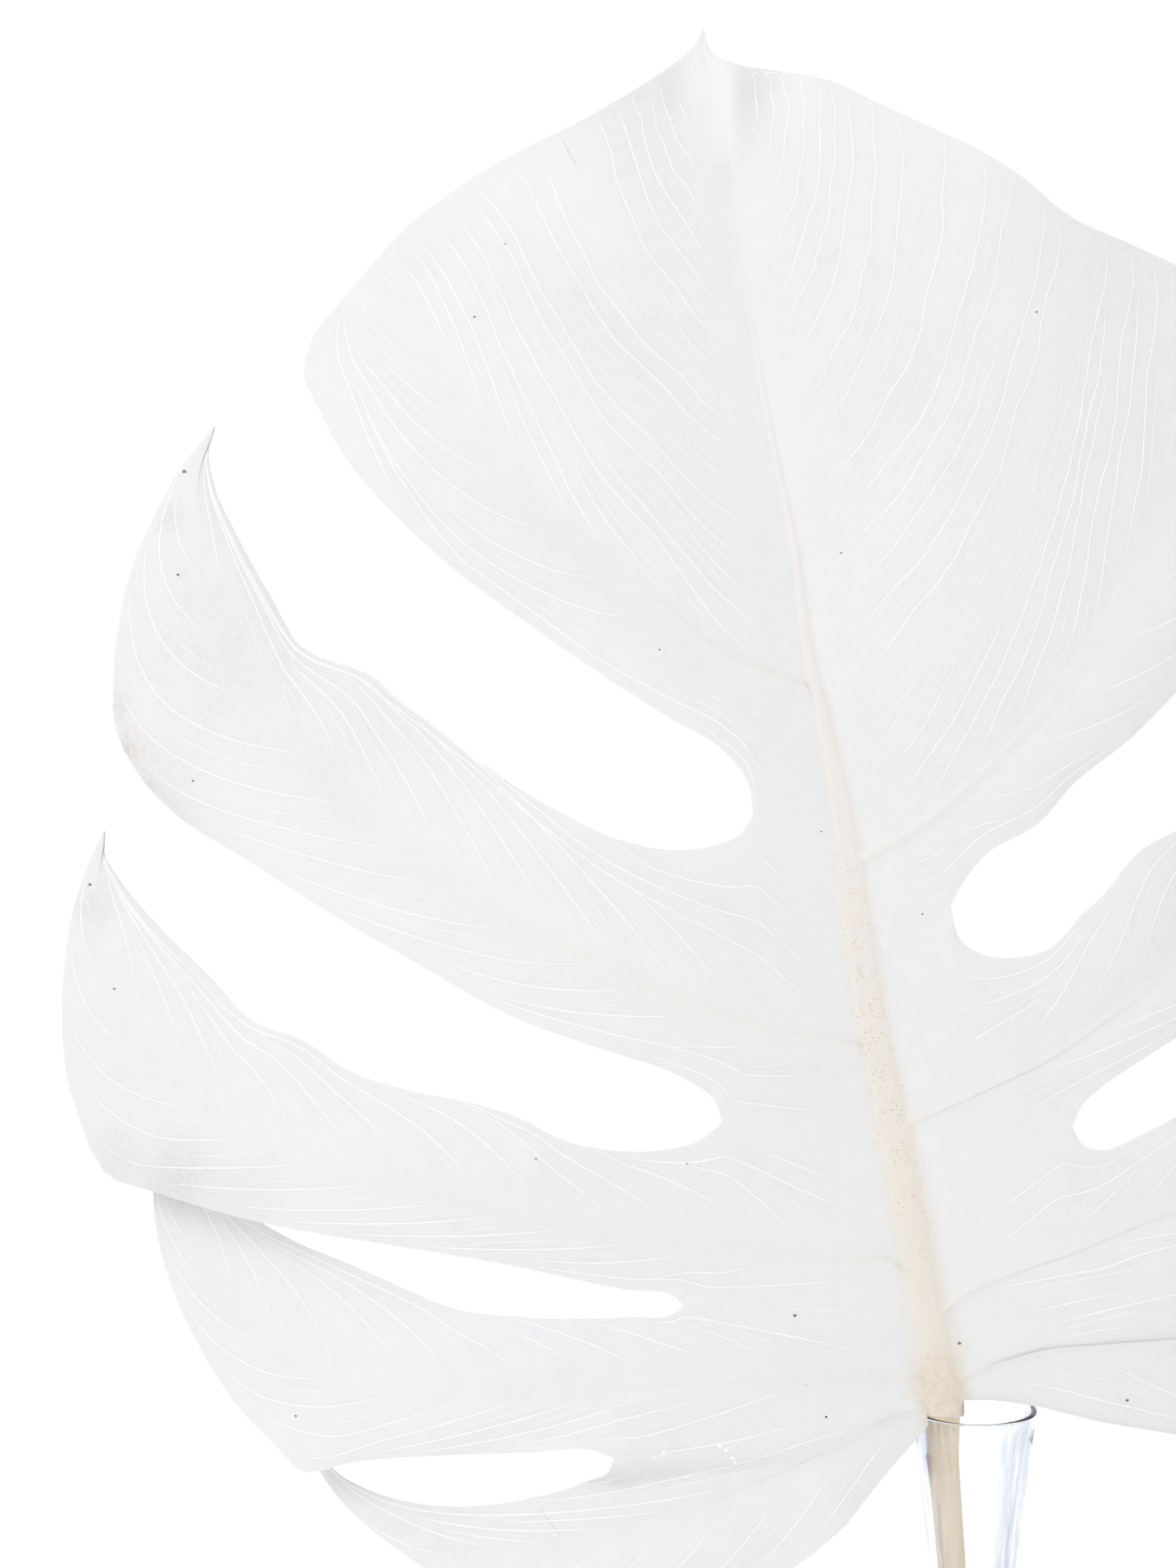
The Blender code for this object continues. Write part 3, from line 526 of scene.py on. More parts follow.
def edge_row(lobe, which, side):
    """A lobe's edge: the web from the midrib to the cut's end, then the margin to the tip."""
    start, way = lobe[which + "_web"]
    web_curve = smooth_path([tuple(midrib_border(start, side))] + way)
    web_part = along(web_curve, np.arange(WEB_COLUMNS) / WEB_COLUMNS)
    margin = smooth_path([way[-1]] + lobe[which] + [lobe["tip"]])
    columns = outward_columns()
    corner = lobe.get("corners", {}).get(which)
    if corner:
        place = place_on(margin, corner)
        columns[np.argmin(np.abs(columns - place))] = place
    return np.vstack([web_part, along(margin, columns)])


def rib_row(lobe, ends, side):
    """A lobe's rib, with as many columns as its edges, and each column's share of its length."""
    curve = smooth_path([tuple(midrib_border(lobe["rib_from"], side))] + lobe["rib"] + [lobe["tip"]])
    length = np.linalg.norm(np.diff(curve, axis=0), axis=1).sum()
    reach = min(abs(end[0] - curve[0][0]) for end in ends)
    knee = min(0.9 * reach / length, 0.5)
    shares = np.concatenate([knee * np.arange(WEB_COLUMNS) / WEB_COLUMNS,
                             knee + (1 - knee) * outward_columns()])
    return along(curve, shares), shares, knee, length


def crest(share):
    """How a part's crown rises and falls on its way out along the rib."""
    return np.sin(math.pi * np.minimum(share * 1.1, 1.0))


class Part:
    """A part of the blade: columns run out along a rib, rows lie across them."""

    def __init__(self, side, rib_data):
        self.side = side
        self.rib, self.shares, self.knee, self.length = rib_data
        self.hem, self.from_edge = None, False

    def columns_at(self, share):
        return np.interp(share, self.shares, np.arange(len(self.shares)))

    def read(self, table, column):
        """What a table with one value, or one point, a column says between its columns."""
        spots = np.arange(len(table))
        if table.ndim == 1:
            return np.interp(column, spots, table)
        return np.stack([np.interp(column, spots, table[:, k]) for k in range(2)], axis=-1)


class HalfLobe(Part):
    """The blade between a rib and one edge of its lobe. Rows run from the rib, 0, to the edge, 1."""

    def __init__(self, lobe, which, side, rib_data, edge):
        super().__init__(side, rib_data)
        self.edge, self.from_edge = edge, which == "lower"
        self.turn = 1.0 if which == "upper" else -1.0
        self.set_back, self.twist = lobe.get("set_back", 0.0), lobe.get("twist", 0.0)
        self.curl = lobe.get("curl", {}).get(which)
        self.hem = lobe.get("hem", {}).get(which)
        self.height = np.linalg.norm(edge - self.rib, axis=1)
        self.spread = float(np.clip(1.5 * self.height.mean() / self.length, 0.07, 0.27))
        self.bend = lobe.get("vein_bend", 0.3 if which == "upper" else 0.0)

    def place(self, column, v):
        """Points (a, b, c) at some columns and rows."""
        rib, edge = self.read(self.rib, column), self.read(self.edge, column)
        share, height = self.read(self.shares, column), self.read(self.height, column)
        lift = np.asarray(v)[..., None]
        margin_share = (column - WEB_COLUMNS) / LOBE_COLUMNS
        foot_height = (1 - v) * self.rib[0][1] + v * self.edge[0][1]
        bend = midrib_border(foot_height, self.side) - ((1 - lift) * self.rib[0] + lift * self.edge[0])
        flat = (1 - lift) * rib + lift * edge + (1 - share)[..., None] * bend
        a, b = flat[..., 0], flat[..., 1]
        reach = np.linalg.norm(self.rib[-1] - self.rib[0])
        away = np.hypot(a - self.rib[0][0], b - self.rib[0][1]) / reach
        out = smoothstep((away - self.knee) / (1 - self.knee))
        out = out * smoothstep((share - self.knee) / 0.12)
        twist = self.turn * self.twist * np.minimum(1.0, height / NARROW)
        c = blade_depth(a, b) + out * (self.set_back + twist * v)
        quilting = np.minimum(QUILTING, 0.045 * height)
        c = c - quilting * np.sin(math.pi * v) * crest(share)
        c = c + MARGIN_WAVE * out * (1 - out) * 4 * v**2 * np.sin(9.0 * share + 2.0 * self.turn)
        if self.curl:
            middle, width, depth = self.curl
            c = c + depth * np.exp(-((margin_share - middle) / width) ** 2) * v**3
        if self.hem:
            into_band = 1 - (1 - v) * height / self.hem[3]
            c = c + 0.12 * self.hem_size(column) * np.clip(into_band, 0, 1) ** 2
        return np.stack([a, b, c], axis=-1)

    def hem_size(self, column):
        start, end, depth = self.hem[:3]
        place = ((column - WEB_COLUMNS) / LOBE_COLUMNS - start) / (end - start)
        return depth * np.sin(math.pi * np.clip(place, 0.0, 1.0))

    def row_places(self):
        """Rows of v for every column, with a few rows close along the rib."""
        count = max(8, math.ceil(self.height.max() / ROW_SPACING))
        rows = []
        for k, step in enumerate(RIB_STEPS):
            rows.append(np.minimum(step / np.maximum(self.height, 1e-6), 0.1 * k))
        near = rows[-1]
        return np.array(rows + [near + (1 - near) * k / count for k in range(1, count + 1)])

    def strand(self, column, v):
        """Which of the parallel veins a point lies on, in mm along the rib."""
        share = self.read(self.shares, column)
        return (share + self.spread * np.log(1 - np.minimum(v / OUTERMOST_VEIN, 0.97))) * self.length

    def vein(self, start):
        """A vein as shares of the rib's length and rows. A start above 0 lies on the rib, at that
        share; one below 0 lies on the midrib, at that row."""
        shares = np.linspace(max(start, 0.0), 0.97, 120)
        outward = OUTERMOST_VEIN * (1 - self.bend * smoothstep((shares - 0.40) / 0.55))
        if start < 0:
            rise = 1 - np.exp(-shares / (2 * self.spread))
            return shares, -start * outward / OUTERMOST_VEIN * (1 - rise) + outward * rise
        return shares, outward * (1 - np.exp(-(shares - start) / self.spread))

    def vein_starts(self):
        """The starts of all its veins, from the outermost, down the midrib and out along the rib."""
        on_midrib = abs(self.edge[0][1] - self.rib[0][1]) / VEIN_SPACING
        rows = np.arange(0.5, on_midrib) / on_midrib
        along_rib = np.arange(0.6 * VEIN_SPACING, 0.9 * self.length, 1.8 * VEIN_SPACING) / self.length
        return [-row for row in rows[::-1]] + list(along_rib)


class Crown(Part):
    """The blade above the uppermost rib. Columns run out from the midrib, 0, to the margin, 1, and
    rows from the rib up to the leaf's tip."""

    def __init__(self, crown, side, rib_data):
        super().__init__(side, rib_data)
        self.margin = smooth_path([crown["tip"]] + crown["crown"] + [LEAF_TIP])
        self.rise_from = crown["rib_from"]
        self.rise = BLADE_LENGTH - self.rise_from

    def place(self, column, v):
        rib, share = self.read(self.rib, column), self.read(self.shares, column)
        lift, out = np.asarray(v)[..., None], share[..., None]
        tip = np.array(LEAF_TIP)
        border = midrib_border(self.rise_from + self.rise * v, self.side)
        corners = (1 - out) * (1 - lift) * self.rib[0] + out * (1 - lift) * self.rib[-1] + lift * tip
        flat = (1 - lift) * rib + lift * tip + (1 - out) * border + out * along(self.margin, v) - corners
        a, b = flat[..., 0], flat[..., 1]
        c = blade_depth(a, b) - QUILTING * np.sin(math.pi * np.minimum(2.5 * v, 1.0)) * crest(share)
        c = c + CROWN_WAVE * share**3 * np.sin(math.pi * v) * np.sin(8.0 * v + self.side)
        return np.stack([a, b, c], axis=-1)

    def row_places(self):
        count = math.ceil(self.rise / ROW_SPACING)
        rows = [step / self.rise for step in RIB_STEPS]
        rows += [v for v in 1 - (1 - np.arange(1, count + 1) / count) ** 1.35 if v > 1.3 * rows[4]]
        return np.repeat(np.array(rows)[:, None], len(self.shares), axis=1)

    def strand(self, column, v):
        share = self.read(self.shares, column)
        return (v - 0.07 * (1 - np.exp(-share / 0.15)) - 0.2 * share**3) * self.rise

    def vein(self, start):
        """A vein climbs from the midrib or the rib and turns up towards the leaf's tip."""
        shares = np.linspace(max(start, 0.0), 0.985, 120)
        rows = [max(-start, 0.0)]
        for share, step in zip(shares[:-1], np.diff(shares)):
            row = rows[-1]
            lift = 0.05 + 0.34 * share**2 + 0.40 * float(smoothstep((row - 0.35) / 0.3))
            rows.append(row + step * ((1 - row) * lift + 0.48 * math.exp(-row / 0.12)))
        return shares, np.array(rows)

    def vein_starts(self):
        rows = np.arange(0.5 * VEIN_SPACING, 0.955 * self.rise, VEIN_SPACING) / self.rise
        along_rib = np.arange(1.2 * VEIN_SPACING, 0.92 * self.length, 1.7 * VEIN_SPACING) / self.length
        return [-row for row in rows[::-1]] + list(along_rib)


def half_blade(side, lobes, crown):
    """All the parts of one half of the blade, from the foot up, each running up the midrib."""
    parts = []
    for lobe in lobes:
        lower, upper = edge_row(lobe, "lower", side), edge_row(lobe, "upper", side)
        rib_data = rib_row(lobe, (lower[WEB_COLUMNS], upper[WEB_COLUMNS]), side)
        parts.append(HalfLobe(lobe, "lower", side, rib_data, lower))
        parts.append(HalfLobe(lobe, "upper", side, rib_data, upper))
    lower = edge_row(crown, "lower", side)
    rib_data = rib_row(crown, (lower[WEB_COLUMNS],), side)
    return parts + [HalfLobe(crown, "lower", side, rib_data, lower), Crown(crown, side, rib_data)]


def to_world(points):
    """From the blade's plane, in mm, to metres in the row's frame."""
    axes = np.array([(1.0, 0.0, 0.0), tuple(BLADE_UP), tuple(BLADE_BACK)])
    return np.array(BLADE_FOOT) + (np.asarray(points) * MM) @ axes


def add_hem(part, grid):
    """More rows where a margin is rolled back behind the blade."""
    size = part.hem_size(np.arange(grid.shape[1], dtype=float))
    inward = grid[-2, :, :2] - grid[-1, :, :2]
    inward = inward / np.maximum(np.linalg.norm(inward, axis=1), 1e-6)[:, None]
    rows = []
    for step in range(1, HEM_STEPS + 1):
        turn = 0.5 * math.pi * step / HEM_STEPS
        row = grid[-1].copy()
        row[:, :2] += (HEM_INWARD * (1 - math.cos(turn)) * size)[:, None] * inward
        row[:, 2] += HEM_BACK * math.sin(turn) * size
        rows.append(row)
    return np.vstack([grid, np.array(rows)])


class Sheet:
    """The blade's middle surface. For each point its table holds the place (a, b, c), how far the
    rib rises there, how much rib shows, and which of the parallel veins it lies on."""

    def __init__(self):
        self.table = np.empty((0, 6))
        self.faces = []

    def add(self, rows):
        first = len(self.table)
        self.table = np.vstack([self.table, rows])
        return np.arange(first, len(self.table))

    def patch(self, part):
        """Lays a part's grid of points and returns its column along the midrib, from below."""
        v = part.row_places()
        column = np.repeat(np.arange(v.shape[1], dtype=float)[None, :], v.shape[0], axis=0)
        points = part.place(column, v)
        share = part.read(part.shares, column)
        from_rib = np.linalg.norm(points[..., :2] - points[:1, :, :2], axis=-1)
        rise = RIB_RISE * np.maximum(0.0, 1 - share / RIB_FLAT_AT)
        rise = rise * np.maximum(0.0, 1 - (from_rib / RIB_HALF_WIDTH) ** 2)
        rib = 0.50 * np.exp(-((from_rib / 1.4) ** 2)) + 0.70 * np.exp(-((from_rib / 0.5) ** 2))
        rib = rib * np.maximum(0.0, 1 - share / RIB_FADES_AT)
        grid = np.dstack([points, rise, rib, part.strand(column, v)])
        if part.hem:
            grid = add_hem(part, grid)
        if part.from_edge:
            grid = grid[::-1]
        numbers = self.add(grid.reshape(-1, 6)).reshape(grid.shape[:2])
        quads = np.stack([numbers[:-1, :-1], numbers[:-1, 1:], numbers[1:, 1:], numbers[1:, :-1]], axis=-1)
        self.faces += quads.reshape(-1, 4).tolist()
        return numbers[:, 0].tolist()

    def stitch(self, line_a, line_b):
        """A strip of triangles between two lines of points that run up the blade."""
        heights = self.table[:, 1]
        i = j = 0
        while i < len(line_a) - 1 or j < len(line_b) - 1:
            next_a = heights[line_a[min(i + 1, len(line_a) - 1)]]
            next_b = heights[line_b[min(j + 1, len(line_b) - 1)]]
            if j == len(line_b) - 1 or (i < len(line_a) - 1 and next_a <= next_b):
                self.faces.append((line_a[i], line_b[j], line_a[i + 1]))
                i += 1
            else:
                self.faces.append((line_a[i], line_b[j], line_b[j + 1]))
                j += 1


def midrib_line(sheet, side, u):
    """One line of points up the midrib, u of its half width away from its middle."""
    stations = np.arange(MIDRIB_STATIONS + 1)
    heights = MIDRIB_START + (BLADE_LENGTH - MIDRIB_START) * stations / MIDRIB_STATIONS
    a = midrib_at(heights) + side * u * midrib_half_width(heights)
    fade = np.clip(1 - heights / MIDRIB_FADES_AT, 0, 1) ** 1.2
    rises = MIDRIB_RISE * fade * (1 - u**2) ** 0.8
    none = np.zeros_like(heights)
    return sheet.add(np.column_stack([a, heights, blade_depth(a, heights), rises, none, none])).tolist()


def lay_sheet(halves):
    """The parts of both halves, then the midrib between them, line by line, from its middle out."""
    sheet = Sheet()
    middle = midrib_line(sheet, 1, 0.0)
    seams = []
    for side, parts in halves:
        border = []
        for part in parts:
            inner = sheet.patch(part)
            border += inner if not border else inner[1:]
        seams.append((side, border))
    for side, border in seams:
        inner = middle
        for u in MIDRIB_LINES:
            outer = midrib_line(sheet, side, u)
            sheet.faces += list(zip(inner[:-1], outer[:-1], outer[1:], inner[1:]))
            inner = outer
        sheet.stitch(inner, border)
    return sheet


def write_marks(mesh, sheet):
    """What the finish reads on the blade: ribs, midrib, foot, stains with painted shade, dots and parallel
    veins.
    """
    a, b, _, _, ribs, strands = sheet.table.T
    from_midrib = np.abs(a - midrib_at(b))
    width = midrib_half_width(b) + 0.25
    paler_at_tip = 0.3 + 0.7 * smoothstep((MIDRIB_FADES_AT - b) / 70)
    # Brown stains, together with broad patches of painted shade on the outer lobes.
    stains_and_shade = [strength * np.exp(-((a - x) ** 2 + (b - y) ** 2) / spread**2)
              for x, y, spread, strength in STAINS_AND_SHADE]
    marks = {
        "rib": ribs,
        "midrib": smoothstep((1.6 * width - from_midrib) / (1.1 * width)) * paler_at_tip,
        "foot": smoothstep((11.0 - np.hypot(1.5 * (a - midrib_at(b)), 0.75 * (b - 1.0))) / 6.0),
        "up": b / BLADE_LENGTH,
        "stain_and_shade": np.max(stains_and_shade, axis=0),
    }
    dense = 0.25 + np.exp(-((b - 72.0) / 38.0) ** 2)
    marks["dots"] = marks["midrib"] * dense * smoothstep((215 - b) / 40)
    for name, values in marks.items():
        layer = mesh.attributes.new(name, "FLOAT", "POINT")
        layer.data.foreach_set("value", values.astype(np.float32))
    corner_points = np.empty(len(mesh.loops), dtype=np.int32)
    mesh.loops.foreach_get("vertex_index", corner_points)
    layer = mesh.attributes.new("strand", "FLOAT", "CORNER")
    layer.data.foreach_set("value", strands[corner_points].astype(np.float32))


def blade_finish():
    """Bleached, papery skin: near white with faint cold clouds and combed lines, cream ribs, a
    midrib with small brown dots, a beige crinkled foot, a few dark specks, brownish stains, and broad
    patches of painted shade where the outer lobes turn away from the light."""
    skin = Finish("bleached_leaf")
    clouds = skin.noise(16.0, 3.0)
    mottle = skin.noise(190.0, 6.0, 0.65)
    crinkle = skin.noise(950.0, 4.0)
    colour = skin.lay(skin.ramp(clouds, 0.35, 0.65), (0.782, 0.781, 0.778), (0.762, 0.765, 0.773))
    colour = skin.lay(skin.ramp(mottle, 0.40, 0.72, 0.0, 0.5), colour, (0.802, 0.800, 0.796))

    wobble = skin.figure("MULTIPLY_ADD", mottle, 1.1, skin.mark("strand"))
    comb = skin.figure("FRACT", skin.figure("MULTIPLY", wobble, 0.34))
    from_line = skin.figure("ABSOLUTE", skin.figure("SUBTRACT", comb, 0.5))
    patchy = skin.ramp(clouds, 0.40, 0.6, 0.10, 0.46)
    lines = skin.figure("MULTIPLY", skin.ramp(from_line, 0.06, 0.0), patchy)
    colour = skin.lay(lines, colour, (0.845, 0.844, 0.840))

    cream = skin.lay(skin.ramp(skin.mark("up"), 0.05, 0.75), (0.772, 0.726, 0.664), (0.788, 0.773, 0.764))
    colour = skin.lay(skin.mark("rib"), colour, (0.780, 0.760, 0.730))
    colour = skin.lay(skin.mark("midrib"), colour, cream)
    foot = skin.mark("foot")
    beige = skin.lay(skin.ramp(crinkle, 0.38, 0.60), (0.69, 0.61, 0.51), (0.75, 0.68, 0.59))
    colour = skin.lay(skin.figure("MULTIPLY", foot, 0.75), colour, beige)

    torn = skin.figure("MULTIPLY_ADD", crinkle, 0.9, mottle)
    # The stain mark lays brown where the leaf is stained, and also painted shade: its broad, weak patches
    # darken outer parts of L1 and L2.
    stain_and_shade = skin.figure("MULTIPLY", skin.mark("stain_and_shade"), skin.ramp(torn, 0.78, 1.20, 0.40, 1.0))
    colour = skin.lay(stain_and_shade, colour, (0.565, 0.518, 0.480))
    pores = skin.figure("MULTIPLY", skin.dots(1700.0, 0.52, 0.28, 0.14), skin.mark("dots"))
    colour = skin.lay(pores, colour, (0.52, 0.37, 0.22))
    colour = skin.lay(skin.dots(72.0, 0.88, 0.034, 0.014), colour, (0.30, 0.25, 0.21))

    grain = skin.figure("MULTIPLY_ADD", skin.noise(1500.0, 3.0), 0.25, mottle)
    height = skin.figure("MULTIPLY_ADD", skin.figure("MULTIPLY", crinkle, foot), 2.0, grain)
    skin.set(Base_Color=colour, Specular_IOR_Level=0.35,
             Roughness=skin.ramp(mottle, 0.3, 0.7, 0.50, 0.68))
    skin.bump(height, 0.35, 0.0003)
    skin.see_light_through(colour, 0.22)
    return skin.material


def shape_blade(sheet):
    """Thickens the sheet, more along its ribs, and gives back the blade and its middle surface."""
    rises = sheet.table[:, 3]
    shift = (1.0 - 2.0 * FRONT_SHARE) / 2.0
    middle = to_world(sheet.table[:, :3]) + np.outer(shift * rises * MM, np.array(BLADE_BACK))
    mesh = bpy.data.meshes.new("blade_sheet")
    mesh.from_pydata([tuple(p) for p in middle], [], sheet.faces)
    write_marks(mesh, sheet)
    blade = new_piece("blade_sheet", mesh, blade_finish())
    thickest = BLADE_THICKNESS + rises.max()
    thickness = blade.vertex_groups.new(name="thickness")
    for index, rise in enumerate(rises):
        thickness.add([index], (BLADE_THICKNESS + rise) / thickest, "REPLACE")
    clean = bmesh.new()
    clean.from_mesh(mesh)
    bmesh.ops.remove_doubles(clean, verts=clean.verts, dist=0.01 * MM)
    bmesh.ops.dissolve_degenerate(clean, edges=clean.edges, dist=0.01 * MM)
    bmesh.ops.recalc_face_normals(clean, faces=clean.faces)
    skin = BVHTree.FromBMesh(clean)
    clean.to_mesh(mesh)
    clean.free()
    solid = blade.modifiers.new("thickness", "SOLIDIFY")
    solid.thickness = thickest * MM
    solid.offset = 0.0
    solid.vertex_group = "thickness"
    evaluated = blade.evaluated_get(bpy.context.evaluated_depsgraph_get())
    solid_mesh = bpy.data.meshes.new_from_object(evaluated)
    finish = mesh.materials[0]
    bpy.data.objects.remove(blade)
    solid_mesh.name = "leaf_blade"
    solid_mesh.shade_smooth()
    solid_mesh.set_sharp_from_angle(angle=math.radians(50))
    solid_mesh.materials.clear()
    return new_piece("leaf_blade", solid_mesh, finish), skin


halves = [(-1, half_blade(-1, LEFT_LOBES, LEFT_CROWN)), (1, half_blade(1, RIGHT_LOBES, RIGHT_CROWN))]
leaf_blade, blade_skin = shape_blade(lay_sheet(halves))
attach(leaf_blade, "root")
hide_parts("leaf")


# The fine veins: hair-thin threads in the blade that stand out of both its faces. They leave the
# midrib and the ribs at a narrow angle, run side by side, join, and close in loops at the margin.
VEIN_HALF_WIDTH = 0.135
STANDS_OUT_LEAST = 0.02
STANDS_OUT_MORE = 0.05
VEIN_STEP = 2.5
SHORTEST_VEIN = 2.0
CLEAR_OF_MIDRIB = 5.0
CLEAR_OF_RIB = 0.5
MINOR_WIDTH = 0.6
LINK_WIDTH = 0.5
LINK_EVERY = 17.0
LINK_GAPS = (1.2, 8.0)
LOOP_GAP = 9.0
CROWDED = 1.5
OFF_THE_SKIN = 0.6
SEED = 7


def vein_route(part, start, last_row, draw):
    """A vein's points from near its start to a row by the margin, with a slight wander."""
    shares, rows = part.vein(start)
    clear = (CLEAR_OF_MIDRIB if start < 0 else CLEAR_OF_RIB) / part.length
    wander = 0.003 * np.sin(shares * draw.uniform(14, 34) + draw.uniform(0, 6))
    wander = wander + 0.0010 * np.sin(shares * draw.uniform(50, 90) + draw.uniform(0, 6))
    keep = (shares > max(start, 0.0) + clear) & (rows < last_row)
    return part.place(part.columns_at(shares), np.clip(rows + wander, 0.0, 1.0))[keep]


def nearest(points, point):
    """The number of the nearest of some points, and how far it is from the given one."""
    far = np.linalg.norm(points - point, axis=1)
    return int(far.argmin()), float(far.min())


def where_it_meets(route, others):
    """The first place where a vein comes close to one of its neighbours, and where it joins it."""
    for i in range(4, len(route)):
        for other in others:
            spot, gap = nearest(other, route[i])
            if gap < CROWDED:
                return i, other[min(spot + 2, len(other) - 1)]
    return None


def cross_links(route, neighbour, draw):
    """Thin bent links from a vein across to its neighbour, more of them near the margin."""
    links = []
    length = np.linalg.norm(np.diff(route, axis=0), axis=1).sum()
    for _ in range(round(length / LINK_EVERY + draw.uniform(-0.5, 0.5))):
        i = int(len(route) * draw.triangular(0.08, 0.98, 0.8))
        spot, gap = nearest(neighbour, route[i])
        there = neighbour[min(spot + draw.randint(0, 5), len(neighbour) - 1)]
        if LINK_GAPS[0] < gap < LINK_GAPS[1]:
            knee = route[i] + draw.uniform(0.35, 0.65) * (there - route[i])
            knee = knee + 0.25 * (route[min(i + 3, len(route) - 1)] - route[i])
            links.append(np.array([route[i], knee, there]))
    return links


def vein_ways(part, draw):
    """The veins of one part of the blade, each a list of points and its width. They are laid from
    the outermost inwards; one that runs up to its neighbour joins it."""
    starts = part.vein_starts()
    ways, laid = [], []
    for k, start in enumerate(starts):
        main = k % 2 == 0
        shift = draw.uniform(-0.22, 0.22) * abs(starts[max(k, 1)] - starts[max(k, 1) - 1])
        last_row = draw.uniform(0.84, 0.94) if main else draw.uniform(0.5, 0.8)
        route = vein_route(part, start + shift, last_row, draw)
        if not main:
            route = route[:max(4, int(len(route) * draw.uniform(0.45, 0.95)))]
        meets = where_it_meets(route, laid[-3:])
        if meets:
            route = route[:meets[0]]
        if len(route) < 8:
            continue
        way = list(route)
        if meets:
            way.append(meets[1])
        elif laid:
            spot, gap = nearest(laid[-1], route[-1])
            landing = laid[-1][min(spot + 5, len(laid[-1]) - 1)]
            if gap < LOOP_GAP:
                way += [0.45 * route[-1] + 0.55 * landing, landing]
        ways.append((np.array(way), 1.0 if main else MINOR_WIDTH))
        if laid:
            ways += [(link, LINK_WIDTH) for link in cross_links(route, laid[-1], draw)]
        laid.append(route)
    return ways


def thread(points, width):
    """A thread's cross-sections along its way: in the skin's middle, thin towards both its ends."""
    total = np.linalg.norm(np.diff(points, axis=0), axis=1).sum()
    if total < SHORTEST_VEIN:
        return None
    count = max(2, round(total / VEIN_STEP))
    spots, normals = [], []
    for point in to_world(along(points, np.arange(count + 1) / count)):
        spot, normal, _, gap = blade_skin.find_nearest(Vector(point))
        if gap > OFF_THE_SKIN * MM:
            break
        spots.append(spot)
        normals.append(normal if normal.dot(BLADE_BACK) < 0 else -normal)
    if len(spots) < 3:
        return None
    sections, count = [], len(spots) - 1
    for k, (spot, normal) in enumerate(zip(spots, normals)):
        ahead = spots[min(k + 1, count)] - spots[max(k - 1, 0)]
        across = ahead.cross(normal).normalized()
        thin = width * min(1.0, 0.15 + 0.13 * k, 0.45 + 0.12 * (count - k))
        stands_out = STANDS_OUT_LEAST + STANDS_OUT_MORE * thin
        half_width = VEIN_HALF_WIDTH * thin * (1 + 0.5 * BLADE_THICKNESS / stands_out) * MM
        half_height = (0.5 * BLADE_THICKNESS + stands_out) * MM
        sections.append([spot + across * half_width, spot + normal * half_height,
                         spot - across * half_width, spot - normal * half_height])
    return sections


def join_threads(name, threads, finish):
    """One piece of many closed threads, each given as its cross-sections."""
    points, faces = [], []
    for sections in threads:
        first, sides = len(points), len(sections[0])
        for section in sections:
            points += [tuple(p) for p in section]
        for k in range(len(sections) - 1):
            ring = first + k * sides
            for i in range(sides):
                j = (i + 1) % sides
                faces.append((ring + i, ring + sides + i, ring + sides + j, ring + j))
        last = first + (len(sections) - 1) * sides
        faces.append(tuple(first + i for i in range(sides)))
        faces.append(tuple(last + i for i in reversed(range(sides))))
    mesh = bpy.data.meshes.new(name)
    mesh.from_pydata(points, [], faces)
    return new_piece(name, mesh, finish)


def vein_finish():
    """The veins are a little whiter than the skin around them."""
    vein = Finish("bleached_veins")
    clouds = vein.ramp(vein.noise(60.0, 4.0), 0.35, 0.65)
    colour = vein.lay(clouds, (0.872, 0.872, 0.870), (0.832, 0.833, 0.835))
    vein.set(Base_Color=colour, Roughness=0.5)
    vein.see_light_through(colour, 0.08)
    return vein.material


def draw_veins():
    draw = random.Random(SEED)
    threads = []
    for part in halves[0][1] + halves[1][1]:
        threads += [thread(way, width) for way, width in vein_ways(part, draw)]
    return join_threads("leaf_veins", [sections for sections in threads if sections], vein_finish())


leaf_veins = draw_veins()
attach(leaf_veins, "root")


# Small marks that the leaf carries: dark specks of dirt, brown scratches and creases, and a few
# spots where the skin has chipped off white. All lie on the front of the blade, a hair above it.
DARK_SPECKS = [(-164.3, 177.2, 0.32), (-161.1, 133.1, 0.30), (-94.2, 247.6, 0.26), (-100.6, 231.8, 0.28),
               (19.0, 232.8, 0.26), (-36.8, 206.8, 0.30), (-32.3, 19.0, 0.42), (-25.5, -3.0, 0.32),
               (3.0, 12.8, 0.40), (-5.5, 11.3, 0.36), (38.8, 0.7, 0.38), (-163.0, 199.4, 0.45),
               (-178.6, 88.2, 0.30), (-183.8, 110.7, 0.36), (-118.9, 47.0, 0.26), (-87.5, 52.6, 0.24),
               (-55.4, 51.7, 0.26), (-140.1, -5.4, 0.30), (-29.9, 4.0, 0.28), (-61.3, 160.8, 0.24),
               (-22.7, 181.4, 0.26), (-5.9, 122.5, 0.28), (-5.5, 104.8, 0.22), (-27.0, 122.3, 0.20)]
WHITE_CHIPS = [(-48.2, -9.2, 0.50), (-47.0, -10.1, 0.42), (-45.5, -11.8, 0.48), (-44.9, -12.8, 0.36)]
SCRATCHES = [[(-82.0, 270.4), (-80.6, 267.6), (-78.8, 264.3)],
             [(-86.8, -25.0), (-84.8, -28.0), (-82.2, -31.2)],
             [(-50.4, 263.9), (-48.6, 264.6), (-46.4, 264.9)]]
MARK_HEIGHT = 0.05
WELL_IN_FRONT = 60.0
SCRATCH_HALF_WIDTH = 0.10
SCRATCH_SECTIONS = 10


def mark_finish(name, dark, light):
    mark = Finish(name)
    grain = mark.ramp(mark.noise(3000.0, 3.0), 0.35, 0.65)
    mark.set(Base_Color=mark.lay(grain, dark, light), Roughness=0.7)
    return mark.material


